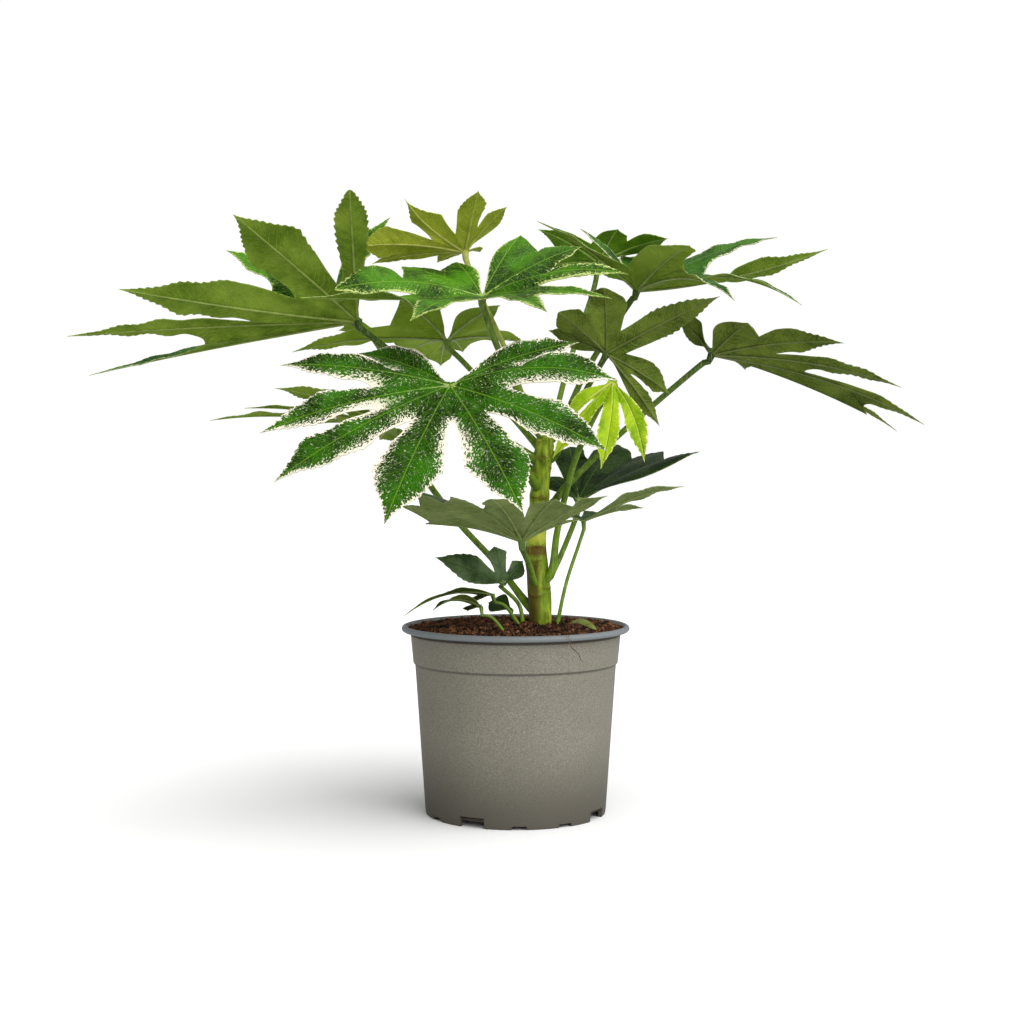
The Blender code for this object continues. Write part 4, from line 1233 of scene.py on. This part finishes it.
    def _side(self, lobe: int, side: int, shares: np.ndarray, rows: int, rib: np.ndarray,
              rib_numbers: list[int], split: float, webs: list) -> None:
        """Add one half of a lobe, from its rib to its edge.

        Args:
            lobe: the lobe's number.
            side: 1 for the half towards the next lobe, or -1.
            shares: where its points lie, as shares of its length; the last is the tip.
            rows: how many of them lie along a web.
            rib, rib_numbers: the rib's points and their numbers.
            split: the share where the webs end.
            webs: the lines midway between neighbouring ribs.
        """
        web = lobe if side > 0 else lobe - 1
        shares, rib, tip = shares[:-1], rib[:-1], rib_numbers[-1]
        if 0 <= lobe + side < len(self.leaf.lobes):
            free = shares[rows:]
            edge, edge_numbers = self._joined_edge(lobe, side, free, split, webs[web])
            inner = np.concatenate([self.form.reach(web) - webs[web][0], 0 * free])
        else:
            edge, edge_numbers = self._open_edge(lobe, side, shares, split)
            inner = np.zeros(len(edge))
        _, up = self.form.across(lobe, shares)
        gap = np.linalg.norm(edge - rib, axis=1)
        along = shares * self.form.lengths[lobe]
        columns = [rib_numbers[:-1]]
        for column in range(1, self.columns):
            v = column / self.columns
            away = v * gap
            phase = (along - 0.8 * away - 0.02 * away ** 2) / LeafTree.VEIN_GAP + 0.5 * (web % 2)
            puff = -self.quilt * np.cos(2 * np.pi * (phase - 0.5)) * math.sin(math.pi * v)
            puff = puff * np.clip(gap / 12, 0, 1)
            bulge = 0.05 * gap * math.sin(math.pi * v) * np.clip(shares / 0.15, 0, 1)
            points = rib * (1 - v) + edge * v + up * (puff + bulge)[:, None]
            margin = np.hypot((1 - v) * gap, inner)
            columns.append(self._add(points, np.stack([along, away, margin], axis=1)))
        columns.append(edge_numbers)
        self._fill(columns, tip, side, web)
        out, _ = self.form.across(lobe, np.array([0.5]))
        self.drops += [-side * float(out[0, 2])] * (len(self.faces) - len(self.drops))

    def _fill(self, columns: list[list[int]], tip: int, side: int, web: int) -> None:
        """Face one half of a lobe: a fan at the hub, rows of four-sided faces, and a fan at the tip."""
        made = []
        for near, far in zip(columns, columns[1:]):
            made.append((0, near[0], far[0]))
            made += [(near[k], near[k + 1], far[k + 1], far[k]) for k in range(len(near) - 1)]
            made.append((near[-1], tip, far[-1]))
        self.faces += made if side > 0 else [face[::-1] for face in made]
        self.sectors += [float(web + 1)] * len(made)

    def sheet(self) -> None:
        """Lay out the whole blade as one sheet."""
        count = len(self.leaf.lobes)
        longest = max([self.form.reach(k) for k in range(count - 1)] or [0.35 * self.form.lengths[0]])
        rows = max(8, round(longest / self.web_step))
        webs = self._webs(rows)
        for lobe in range(count):
            length = self.form.lengths[lobe]
            reaches = [self.form.reach(k) for k in (lobe - 1, lobe) if 0 <= k < count - 1]
            split = sum(reaches) / len(reaches) / length if reaches else 0.35
            steps = max(10, round((1 - split) * length / self.free_step))
            shares = np.concatenate([np.linspace(self.form.seat / length, split, rows),
                                     split + (1 - split) * np.arange(1, steps + 1) / steps])
            rib = self.form.rib(lobe, shares)
            rib[0] = self.form.on_seat(rib[0])
            edge = np.maximum(self.leaf.lobes[lobe].half_width * np.sin(np.pi * shares ** 1.3), 0.0)
            edge = np.maximum(edge, (split - shares) * length)
            numbers = self._add(rib, np.stack([shares * length, 0 * shares, edge], axis=1))
            for side in (1, -1):
                self._side(lobe, side, shares, rows, rib, numbers, split, webs)

    def solid(self) -> MeshParts:
        """Return the sheet given its thickness, its underside and rim in the second finish."""
        self.sheet()
        points = np.array(self.points)
        mesh = bpy.data.meshes.new("sheet")
        mesh.from_pydata(points.tolist(), [], self.faces)
        normals = np.zeros(len(points) * 3, np.float32)
        mesh.vertex_normals.foreach_get("vector", normals)
        bpy.data.meshes.remove(mesh)
        shift = normals.reshape(-1, 3) * self.thickness / 2
        total = len(points)
        owners = {(face[k - 1], face[k]): row
                  for row, face in enumerate(self.faces) for k in range(len(face))}
        rim = sorted((a, b) for a, b in owners if (b, a) not in owners)
        under = [tuple(number + total for number in reversed(face)) for face in self.faces]
        sides = [(b, a, a + total, b + total) for a, b in rim]
        flow = np.array(self.flow)
        return MeshParts(
            np.concatenate([points + shift, points - shift]) + self.hub,
            [*self.faces, *under, *sides],
            [Skin.TOP.value] * len(self.faces) + [Skin.UNDER.value] * (len(under) + len(sides)),
            {"leaf_flow": np.concatenate([flow, flow])},
            {label: values * 2 + [values[owners[step]] for step in rim]
             for label, values in (("sector", self.sectors), ("drop", self.drops))},
        )

    def ribs(self) -> list[tuple[np.ndarray, np.ndarray]]:
        """Return the lines and radii of the raised ribs under the blade."""
        lines = []
        for lobe, shape in enumerate(self.leaf.lobes):
            share = np.linspace(0.0, 0.96, 26)
            thick = min(0.42 * self.leaf.radius, 0.07 * shape.half_width + 0.3)
            radii = 0.22 + thick * (1 - share) ** 0.75
            _, up = self.form.across(lobe, np.maximum(share, 0.02))
            line = self.hub + self.form.rib(lobe, share) - up * (radii - self.thickness / 2 + 0.05)[:, None]
            lines.append((line, radii))
        return lines


@dataclass
class Stalks:
    """The leaf stalks, from the trunk or the soil to the underside of each blade.

    Attributes:
        tubes: what makes them.
        leaving: how far out and up a stalk first goes from the trunk.
        knee: how far under its hub a stalk turns to meet it squarely.
        hidden: how far under the hub it ends.
        root_depth: how deep it starts in the soil.
        foot_swell, top_swell: how much thicker its ends are, and over what share of its length.
        count, sides: how finely it is made.
    """

    tubes: TubeMaker
    leaving: Span = (13.0, 9.0)
    knee: float = 7.0
    hidden: float = 0.3
    root_depth: float = 6.0
    foot_swell: Span = (1.1, 0.09)
    top_swell: Span = (0.4, 0.025)
    count: int = 44
    sides: int = 20

    def line(self, leaf: Leaf) -> tuple[np.ndarray, np.ndarray]:
        """Return one stalk's points and radii."""
        form = BladeForm(leaf)
        hub = np.array(leaf.hub, float)
        route = [np.array(point, float) for point in leaf.route]
        below = hub - form.normal * self.knee
        if leaf.root is None:
            knots = [route[0] - (0, 0, self.root_depth), *route, below]
        else:
            start = trunk_middle(leaf.root)
            ahead = (route[0] if route else hub) - start
            level = unit(ahead * (1, 1, 0))
            left = start + level * self.leaving[0] + np.array((0, 0, self.leaving[1]))
            knots = [start, left, *route, below]
        end = hub - form.normal * self.hidden
        line = np.concatenate([smooth_way(knots, self.count), end[None]])
        share = np.linspace(0.0, 1.0, len(line))
        (foot, foot_span), (top, top_span) = self.foot_swell, self.top_swell
        swell = 1.0 + foot * np.exp(-share / foot_span) + top * np.exp(-(1 - share) / top_span)
        return line, leaf.radius * swell

    def build(self, leaf: Leaf) -> bpy.types.Object:
        """Make one leaf's stalk."""
        finish = stock(leaf.stalk.value)
        piece = self.tubes.build(leaf.name + "_petiole", [self.line(leaf)], self.sides, finish)
        return keep(piece, "stalk", leaf.name + "_stalk")


STOCK: dict[str, bpy.types.Material] = {}


def stock(finish: TopFinish | UnderFinish | RibFinish | StalkFinish | EarthFinish) -> bpy.types.Material:
    """Return a finish's material, made once."""
    if finish.name not in STOCK:
        STOCK[finish.name] = finish.build()
    return STOCK[finish.name]


@dataclass
class Foliage:
    """All the leaves."""

    tubes: TubeMaker
    rib_sides: int = 7

    def build(self) -> None:
        """Make each leaf's blade, ribs and stalk."""
        stalks = Stalks(self.tubes)
        for leaf in LEAVES:
            finishes = FINISHES[leaf.look]
            fine = FineBlade(leaf)
            sides = (stock(finishes.top), stock(finishes.under))
            keep(fine.solid().build(leaf.name + "_leaf", sides), leaf.look.slot, leaf.name + "_blade")
            ribs = self.tubes.build(leaf.name + "_ribs", fine.ribs(), self.rib_sides, stock(finishes.ribs))
            keep(ribs, leaf.look.slot)
            stalks.build(leaf)


@dataclass
class Trunk:
    """The green trunk with its swollen joints and the brown scars under them.

    Attributes:
        rows, sides: how finely it is made.
        blur: over how many rows its thickness is evened out.
        cap: how its last rows close up.
        lost: the turn in degrees and the height of each scar that a lost leaf has left.
        below_stalk: how far under a stalk's root its scar lies.
        bow: how much a scar rises round the trunk.
        width: how wide the line of a scar is.
        raised: how far a scar stands out.
        uneven: how uneven the trunk is.
    """

    rows: int = 190
    sides: int = 40
    blur: int = 7
    cap: tuple[float, ...] = (0.95, 0.85, 0.65, 0.3)
    lost: tuple[tuple[float, float], ...] = ((262, 210.5), (280, 222.5), (272, 262.5), (60, 222.0),
                                             (120, 250.0), (285, 293.0))
    below_stalk: float = 5.0
    bow: float = 3.0
    width: float = 1.2
    raised: float = 0.5
    uneven: float = 0.5

    def build(self) -> bpy.types.Object:
        """Make the trunk."""
        knots = smooth_way(TRUNK_POINTS, self.rows)
        heights = [point[2] for point in TRUNK_POINTS]
        radii = np.interp(knots[:, 2], heights, TRUNK_RADII)
        even = np.ones(self.blur) / self.blur
        radii = np.convolve(np.pad(radii, self.blur // 2, mode="edge"), even, mode="valid")
        radii[-len(self.cap):] *= self.cap
        turns = np.linspace(0, 2 * np.pi, self.sides, endpoint=False)
        scars = self._scars()
        points, scarred = [], []
        for middle, radius in zip(knots, radii):
            for turn in turns:
                way = np.array((math.cos(turn), math.sin(turn), 0.0))
                mark = self._mark(scars, turn, middle[2])
                lump = noise.noise(Vector((way[0] * 1.3, way[1] * 1.3, middle[2] * 0.05))) * self.uneven
                points.append(middle + way * (radius + lump + mark * self.raised))
                scarred.append(mark)
        faces = []
        for row in range(self.rows - 1):
            for k in range(self.sides):
                a, b = row * self.sides + k, row * self.sides + (k + 1) % self.sides
                faces.append((a, b, b + self.sides, a + self.sides))
        last = (self.rows - 1) * self.sides
        faces.append(tuple(range(last, last + self.sides)))
        faces.append(tuple(range(self.sides - 1, -1, -1)))
        parts = MeshParts(np.array(points), faces, point_values={"scar": np.array(scarred)})
        return keep(parts.build("trunk_stem", (TrunkFinish().build(),)), "trunk", "trunk")

    def _scars(self) -> list[tuple[float, float]]:
        """Return the direction and height of each scar, of lost leaves and under the stalks."""
        scars = [(math.radians(turn), height) for turn, height in self.lost]
        for leaf in LEAVES:
            if leaf.root is not None:
                ahead = np.array(leaf.route[0], float) - trunk_middle(leaf.root)
                scars.append((math.atan2(ahead[1], ahead[0]), leaf.root - self.below_stalk))
        return scars

    def _mark(self, scars: Sequence[tuple[float, float]], turn: float, height: float) -> float:
        """Return how scarred the trunk is at a turn and height: a thin crescent round each joint."""
        most = 0.0
        for way, level in scars:
            off = (turn - way + math.pi) % (2 * math.pi) - math.pi
            bowed = level + self.bow * off ** 2
            ring = math.exp(-((height - bowed) / self.width) ** 2) * math.exp(-off ** 4)
            most = max(most, ring)
        return most


@dataclass
class Pot:
    """The round nursery pot: rolled lip, stepped band, tapering body and notched foot.

    Attributes:
        height, rim_radius: its size over all.
        lip_height, lip_width: the rolled lip's section.
        groove: how deep the groove under the lip is.
        band_top, band_foot, band_depth: the band's two radii and how far down it reaches.
        body_top, foot: the body's radii.
        wall, floor: their thickness.
        underside: how high the floor stands above the ground.
        foot_ring, centre_foot: the width of the ring and the radius of the middle that it stands on.
        steps: how many faces go round it.
        notches, notch_turn: how many there are in the foot, and the first one's turn in degrees.
        wide_notch, small_notch: the width and height of every third notch and of the others.
        notch_reach: how far the cut reaches to either side of the foot's radius.
    """

    height: float = 157.0
    rim_radius: float = 95.0
    lip_height: float = 5.0
    lip_width: float = 4.4
    groove: float = 0.9
    band_top: float = 87.5
    band_foot: float = 85.3
    band_depth: float = 31.0
    body_top: float = 83.8
    foot: float = 75.0
    wall: float = 2.2
    underside: float = 4.0
    floor: float = 2.5
    foot_ring: float = 3.0
    centre_foot: float = 18.0
    steps: int = 168
    notches: int = 12
    notch_turn: float = 62.0
    wide_notch: Span = (22.0, 8.5)
    small_notch: Span = (12.0, 3.0)
    notch_reach: float = 6.0

    def outline(self) -> list[tuple[float, float, float]]:
        """Return the wall's outline as radius, height and how far each corner is rounded."""
        lip_foot = self.height - self.lip_height
        band_foot = self.height - self.band_depth
        inner_floor = self.underside + self.floor
        rim = self.rim_radius
        return [
            (rim - 3.4, self.height, 1.0), (rim - 1.0, self.height - 0.6, 1.0), (rim, self.height - 2.0, 1.0),
            (rim, lip_foot + 1.2, 0.8), (rim - 1.2, lip_foot, 0.5),
            (self.band_top - self.groove, lip_foot - 0.6, 0.3),
            (self.band_top - self.groove, lip_foot - 2.4, 0.3),
            (self.band_top, lip_foot - 3.2, 0.3), (self.band_foot, band_foot, 0.35),
            (self.body_top, band_foot - 1.5, 1.0), (self.foot + 0.6, 4.0, 2.0), (self.foot, 0.0, 0.4),
            (self.foot - self.foot_ring, 0.0, 0.4), (self.foot - self.foot_ring, self.underside, 0.6),
            (self.centre_foot, self.underside, 0.5), (self.centre_foot, 0.0, 0.4), (0.0, 0.0, 0.0),
            (0.0, inner_floor, 0.0), (self.foot - self.wall, inner_floor, 1.5),
            (self.body_top - self.wall, band_foot, 1.0),
            (self.band_top - self.groove - self.wall, lip_foot + 0.2, 0.8),
            (rim - self.lip_width - 1.0, lip_foot + 2.0, 0.5), (rim - self.lip_width, self.height - 1.4, 1.0),
        ]

    @staticmethod
    def rounded(outline: Sequence[tuple[float, float, float]], steps: int = 4) -> list[tuple[float, float]]:
        """Return the outline with each corner replaced by a short curve."""
        made = []
        count = len(outline)
        for k, (radius, height, cut) in enumerate(outline):
            corner = np.array((radius, height))
            if cut == 0.0:
                made.append((radius, height))
                continue
            ends = []
            for other in (outline[k - 1], outline[(k + 1) % count]):
                way = np.array(other[:2]) - corner
                ends.append(corner + way * min(cut / np.linalg.norm(way), 0.45))
            for t in np.linspace(0, 1, steps):
                spot = (1 - t) ** 2 * ends[0] + 2 * t * (1 - t) * corner + t ** 2 * ends[1]
                made.append((float(spot[0]), float(spot[1])))
        return made

    def build(self) -> bpy.types.Object:
        """Make the pot and cut the notches in its foot."""
        profile = self.rounded(self.outline())
        on_axis = [k for k, (radius, _) in enumerate(profile) if radius == 0.0]
        points, rings = [], []
        for radius, height in profile:
            start = len(points)
            if radius == 0.0:
                points.append((0.0, 0.0, height))
                rings.append([start] * self.steps)
            else:
                turns = np.arange(self.steps) * 2 * np.pi / self.steps
                points += [(radius * math.cos(t), radius * math.sin(t), height) for t in turns]
                rings.append(list(range(start, start + self.steps)))
        faces = []
        for k, ring in enumerate(rings):
            below = rings[(k + 1) % len(rings)]
            if k in on_axis and (k + 1) % len(rings) in on_axis:
                continue
            for s in range(self.steps):
                n = (s + 1) % self.steps
                face = [ring[s], below[s], below[n], ring[n]]
                faces.append(tuple(dict.fromkeys(face)))
        lip_foot, band_foot = self.height - self.lip_height, self.height - self.band_depth
        finish = PotFinish().build(lip_foot * MM, band_foot * MM)
        pot = MeshParts(np.array(points), faces).build("nursery_pot", (finish,), 60.0)
        for k in range(self.notches):
            size = self.wide_notch if k % 3 == 0 else self.small_notch
            self._cut(pot, math.radians(self.notch_turn + k * 360.0 / self.notches), size)
        pot.data.shade_smooth()
        pot.data.set_sharp_from_angle(angle=math.radians(45))
        return keep(pot, "pot", "pot")

    def _cut(self, pot: bpy.types.Object, angle: float, size: tuple[float, float]) -> None:
        """Cut one drainage notch through the foot's ring, and apply it."""
        width, height = size
        near, far = self.foot - self.notch_reach, self.foot + self.notch_reach
        corners = [(x, y, z) for z in (-height, height) for x, y in (
            (near, -width / 2), (far, -width / 2), (far, width / 2), (near, width / 2))]
        cos, sin = math.cos(angle), math.sin(angle)
        turn = np.array(((cos, -sin, 0), (sin, cos, 0), (0, 0, 1)))
        block = MeshParts(np.array(corners) @ turn.T, [
            (3, 2, 1, 0), (4, 5, 6, 7), (0, 1, 5, 4), (1, 2, 6, 5), (2, 3, 7, 6), (3, 0, 4, 7)])
        cutter = block.build("notch", ())
        modifier = pot.modifiers.new("Notch", "BOOLEAN")
        modifier.operation = "DIFFERENCE"
        modifier.solver = "EXACT"
        modifier.object = cutter
        pot.data = settled(pot)
        bpy.data.objects.remove(cutter)


@dataclass
class SoilBed:
    """The soil: an uneven mound, loose crumbs, and reddish coir fibres on it.

    Attributes:
        tubes: what makes the rootlet.
        pot: the pot that holds it.
        edge_height, middle_height: the mound's heights.
        edge_gap, wall_gap: how far it stays clear of the lip and of the wall.
        rings, spokes: how finely its top is made.
        waves: the layers of its unevenness, each with its fineness, its place in the noise and its size.
        crumbs, fibres: how many of each lie on a square metre.
        crumb_sizes, fibre_sizes: the smallest and largest scale of each, along its own axes.
        fibre_tilt: how far a fibre stands up, in radians.
        grass_half_width: half the width of the grass blade.
        rootlet_radii: the rootlet's radius at its root and at its tip.
    """

    tubes: TubeMaker
    pot: Pot
    edge_height: float = 154.0
    middle_height: float = 158.0
    edge_gap: float = 1.0
    wall_gap: float = 0.7
    rings: int = 60
    spokes: int = 168
    waves: tuple[Point, ...] = ((0.06, 3.1, 3.0), (0.25, 7.7, 2.2), (0.8, 1.3, 0.6))
    crumbs: float = 52000.0
    fibres: float = 21000.0
    crumb_sizes: tuple[Point, Point] = ((0.3, 0.3, 0.3), (3.3, 2.5, 2.1))
    fibre_sizes: tuple[Point, Point] = ((0.4, 0.4, 0.3), (1.5, 1.6, 1.6))
    fibre_tilt: float = 0.5
    grass_half_width: float = 2.6
    rootlet_radii: Span = (0.38, 0.2)

    def height(self, x: float, y: float) -> float:
        """Return the mound's height at a place, without its small bumps."""
        share = min(1.0, math.hypot(x, y) / self.radius)
        return self.edge_height + (self.middle_height - self.edge_height) * math.cos(math.pi / 2 * share)

    @property
    def radius(self) -> float:
        """Return the soil's outer radius at its surface."""
        return self.pot.rim_radius - self.pot.lip_width - self.edge_gap

    def bumps(self, x: float, y: float) -> float:
        """Return the small unevenness of the surface."""
        uneven = sum(noise.noise(Vector((x * fineness, y * fineness, layer))) * size
                     for fineness, layer, size in self.waves)
        calm = 1.0 - 0.7 * min(1.0, math.hypot(x, y) / self.radius) ** 6
        return uneven * calm

    def surface(self) -> tuple[np.ndarray, list[tuple[int, ...]]]:
        """Return the uneven top as points and faces."""
        points = [(0.0, 0.0, self.height(0, 0) + self.bumps(0, 0))]
        for ring in range(1, self.rings + 1):
            radius = self.radius * ring / self.rings
            for spoke in range(self.spokes):
                turn = 2 * math.pi * spoke / self.spokes
                x, y = radius * math.cos(turn), radius * math.sin(turn)
                points.append((x, y, self.height(x, y) + self.bumps(x, y)))
        faces = []
        for spoke in range(self.spokes):
            n = (spoke + 1) % self.spokes
            faces.append((0, 1 + spoke, 1 + n))
            for ring in range(self.rings - 1):
                a, b = 1 + ring * self.spokes, 1 + (ring + 1) * self.spokes
                faces.append((a + spoke, b + spoke, b + n, a + n))
        return np.array(points), faces

    def build(self) -> None:
        """Make the soil, its crumbs and its fibres."""
        points, faces = self.surface()
        bed = MeshParts(points, faces)
        pot, inset = self.pot, self.pot.wall + self.wall_gap
        rings = ((pot.band_top - pot.groove - inset, pot.height - pot.lip_height + 0.6),
                 (pot.body_top - inset, pot.height - pot.band_depth - 1.5),
                 (pot.foot - inset, pot.underside + pot.floor + 0.3))
        turns = np.arange(self.spokes) * 2 * np.pi / self.spokes
        upper = 1 + (self.rings - 1) * self.spokes
        skirt = []
        for radius, height in rings:
            lower = len(points)
            points = np.concatenate([points, np.stack(
                [radius * np.cos(turns), radius * np.sin(turns), np.full(self.spokes, height)], axis=1)])
            skirt += [(upper + k, lower + k, lower + (k + 1) % self.spokes, upper + (k + 1) % self.spokes)
                      for k in range(self.spokes)]
            upper = lower
        closing = [tuple(range(upper + self.spokes - 1, upper - 1, -1))]
        whole = MeshParts(points, [*faces, *skirt, *closing])
        keep(whole.build("soil_mound", (stock(PEAT),)), "soil", "soil")
        self._scatter("soil_crumbs", bed, self._crumb_recipe(), stock(CRUMBS), self.crumbs, 4)
        self._litter()
        self._scatter("soil_fibres", bed, self._fibre_recipe(), stock(COIR), self.fibres, 9)

    def _litter(self) -> None:
        """Lay the grass blade on the soil, and hang the rootlet over the rim."""
        rows = smooth_way(GRASS_BLADE, 24)
        half = self.grass_half_width * np.sin(np.pi * np.linspace(0.06, 0.97, len(rows))) ** 0.6
        along = np.gradient(rows, axis=0)
        out = np.cross(along, (-0.3, -0.8, 0.5))
        out /= np.linalg.norm(out, axis=1)[:, None]
        edges = [rows + out * (side * half)[:, None] + (0, 0, lift) for side, lift in
                 ((-1, 0.0), (0, 0.5), (1, 0.0), (0, -0.1))]
        count = len(rows)
        faces = [(k * count + r, (k + 1) % 4 * count + r, (k + 1) % 4 * count + r + 1, k * count + r + 1)
                 for k in range(4) for r in range(count - 1)]
        faces += [tuple(k * count for k in (3, 2, 1, 0)), tuple(k * count + count - 1 for k in range(4))]
        blade = MeshParts(np.concatenate(edges), faces).build("grass_blade", (stock(GRASS),))
        keep(blade, "soil")
        hair = smooth_way(ROOTLET, 30)
        radii = np.linspace(*self.rootlet_radii, len(hair))
        keep(self.tubes.build("rim_rootlet", [(hair, radii)], 6, stock(CRUMBS)), "soil")

    @staticmethod
    def _scatter(name: str, bed: MeshParts, recipe: NodeRecipe, material: bpy.types.Material,
                 density: float, seed: int) -> None:
        """Scatter a recipe's pieces over the soil's top.

        Args:
            name: the finished piece's name.
            bed: the soil's top.
            recipe: the tree that makes and strews the pieces.
            material: the finish.
            density: how many lie on a square metre.
            seed: the number that fixes their random places.
        """
        guide = bed.build(name + "_guide", ())
        keep(recipe.run(guide, name, {"Density": density, "Seed": seed, "Material": material}), "soil")

    @staticmethod
    def _spread(name: str) -> tuple[NodeRecipe, bpy.types.NodeSocket]:
        """Start a tree that strews points over a surface."""
        recipe = NodeRecipe(name, (("Density", "NodeSocketFloat", 1000.0), ("Seed", "NodeSocketInt", 0),
                                   ("Material", "NodeSocketMaterial", 0.0)))
        strewn = recipe.add("GeometryNodeDistributePointsOnFaces",
                            {"Mesh": recipe.input("Geometry"), "Density": recipe.input("Density"),
                             "Seed": recipe.input("Seed")})
        return recipe, strewn

    @staticmethod
    def _lay(recipe: NodeRecipe, strewn: bpy.types.NodeSocket, piece: bpy.types.NodeSocket,
             turns: tuple[Point, Point], sizes: tuple[Point, Point], seeds: tuple[int, int]) -> NodeRecipe:
        """Put a piece on each strewn point, turned and sized at random, and end the tree.

        Args:
            recipe: the tree.
            strewn: the points.
            piece: what lies on each of them.
            turns: the least and most that it turns about each axis, in radians.
            sizes: its least and largest scale along each axis.
            seeds: the numbers that fix the random turns and sizes.

        Returns:
            The tree.
        """
        turn, size = (
            recipe.add("FunctionNodeRandomValue", {0: low, 1: high, "Seed": seed}, data_type="FLOAT_VECTOR")
            for (low, high), seed in zip((turns, sizes), seeds))
        laid = recipe.add("GeometryNodeInstanceOnPoints",
                          {"Points": strewn, "Instance": piece, "Rotation": turn, "Scale": size})
        recipe.close(laid, recipe.input("Material"))
        return recipe

    def _crumb_recipe(self) -> NodeRecipe:
        """Return the tree for crumbs: small lumps of uneven size, turned at random."""
        recipe, strewn = self._spread("Crumbs")
        lump = recipe.add("GeometryNodeMeshIcoSphere", {"Radius": MM, "Subdivisions": 1})
        turns = ((0.0, 0.0, 0.0), (FULL_TURN, FULL_TURN, FULL_TURN))
        return self._lay(recipe, strewn, lump, turns, self.crumb_sizes, (1, 2))

    def _fibre_recipe(self) -> NodeRecipe:
        """Return the tree for fibres: thin bent tubes, lying at random."""
        recipe, strewn = self._spread("Fibres")
        bend = recipe.add("GeometryNodeCurveQuadraticBezier",
                          {"Resolution": 6, "Start": (-0.004, 0.0, 0.0), "Middle": (0.0, 0.003, 0.0025),
                           "End": (0.0045, -0.0006, 0.0005)})
        ring = recipe.add("GeometryNodeCurvePrimitiveCircle", {"Resolution": 3, "Radius": 0.00016})
        hair = recipe.add("GeometryNodeCurveToMesh",
                          {"Curve": bend, "Profile Curve": ring, "Fill Caps": True})
        tilt = self.fibre_tilt
        turns = ((-tilt, -tilt, 0.0), (tilt, tilt, FULL_TURN))
        return self._lay(recipe, strewn, hair, turns, self.fibre_sizes, (3, 5))


@dataclass
class Studio:
    """The pale floor, the soft lights and the camera of the photograph.

    Attributes:
        camera_place: where the camera stands.
        pitch: how far it looks down, in degrees.
        lens, sensor: its focal length and its sensor's width.
        sky: how strongly the white surroundings light everything.
        backdrop: how bright they are behind the object.
        lamps: for each lamp the way it shines from, its strength, and its softness in degrees.
        floor_lit: the floor's grey for the light that bounces off it.
        floor_seen: the floor's grey in the picture.
        floor_corners: the floor's nearest left and farthest right corners.
    """

    camera_place: Point = (-3.0, -1450.0, 305.0)
    pitch: float = 2.14
    lens: float = 61.2
    sensor: float = 36.0
    sky: float = 0.44
    backdrop: float = 1.02
    lamps: tuple[tuple[str, Point, float, float], ...] = (
        ("Key", (1.0, -0.75, 2.3), 2.5, 70.0), ("Front", (0.7, -1.5, 0.7), 1.15, 50.0))
    floor_lit: float = 0.62
    floor_seen: float = 0.99
    floor_corners: tuple[Span, Span] = ((-6000, -3000), (6000, 9000))

    def build(self) -> None:
        """Set up the view, the floor and the light."""
        scene = bpy.context.scene
        lens = bpy.data.cameras.new("Camera")
        lens.lens = self.lens
        lens.sensor_width = self.sensor
        lens.clip_end = 50.0
        camera = bpy.data.objects.new("Camera", lens)
        camera.location = [part * MM for part in self.camera_place]
        camera.rotation_euler = (math.radians(90.0 - self.pitch), 0.0, 0.0)
        scene.collection.objects.link(camera)
        scene.camera = camera
        scene.view_settings.view_transform = "Standard"
        self._floor()
        self._world()
        for lamp in self.lamps:
            self._sun(*lamp)

    def _floor(self) -> None:
        """Lay the plain pale floor."""
        (left, near), (right, far) = self.floor_corners
        corners = np.array([(left, near, 0), (right, near, 0), (right, far, 0), (left, far, 0)])
        floor = MeshParts(corners, [(0, 1, 2, 3)])
        tree = MaterialTree("Floor")
        seen = tree.node("ShaderNodeLightPath", output="Is Camera Ray")
        lit, shown = ((grey, grey, grey, 1.0) for grey in (self.floor_lit, self.floor_seen))
        pale = tree.mix(seen, lit, shown)
        finish = tree.finish({"Roughness": 1.0, "Specular IOR Level": 0.0}, {"Base Color": pale})
        floor.build("floor", (finish,))

    def _world(self) -> None:
        """Surround everything with even soft light, and show plain white behind it."""
        world = bpy.data.worlds.new("Studio")
        world.use_nodes = True
        tree = world.node_tree
        seen = tree.nodes.new("ShaderNodeLightPath").outputs["Is Camera Ray"]
        level = tree.nodes.new("ShaderNodeMapRange")
        level.inputs["To Min"].default_value = self.sky
        level.inputs["To Max"].default_value = self.backdrop
        tree.links.new(seen, level.inputs["Value"])
        background = tree.nodes["Background"]
        background.inputs["Color"].default_value = (1.0, 1.0, 1.0, 1.0)
        tree.links.new(level.outputs["Result"], background.inputs["Strength"])
        bpy.context.scene.world = world

    @staticmethod
    def _sun(name: str, way: Point, power: float, softness: float) -> None:
        """Light everything evenly from one side, softened like a large lamp."""
        lamp = bpy.data.lights.new(name, "SUN")
        lamp.energy = power
        lamp.angle = math.radians(softness)
        made = bpy.data.objects.new(name, lamp)
        made.rotation_euler = (-Vector(way)).to_track_quat("-Z", "Y").to_euler()
        bpy.context.scene.collection.objects.link(made)


def main() -> None:
    """Build every piece in order."""
    logging.basicConfig(level=logging.INFO, format="%(message)s")
    Studio().build()
    tubes = TubeMaker()
    pot = Pot()
    pot.build()
    SoilBed(tubes, pot).build()
    Trunk().build()
    Foliage(tubes).build()


if __name__ == "__main__":
    main()
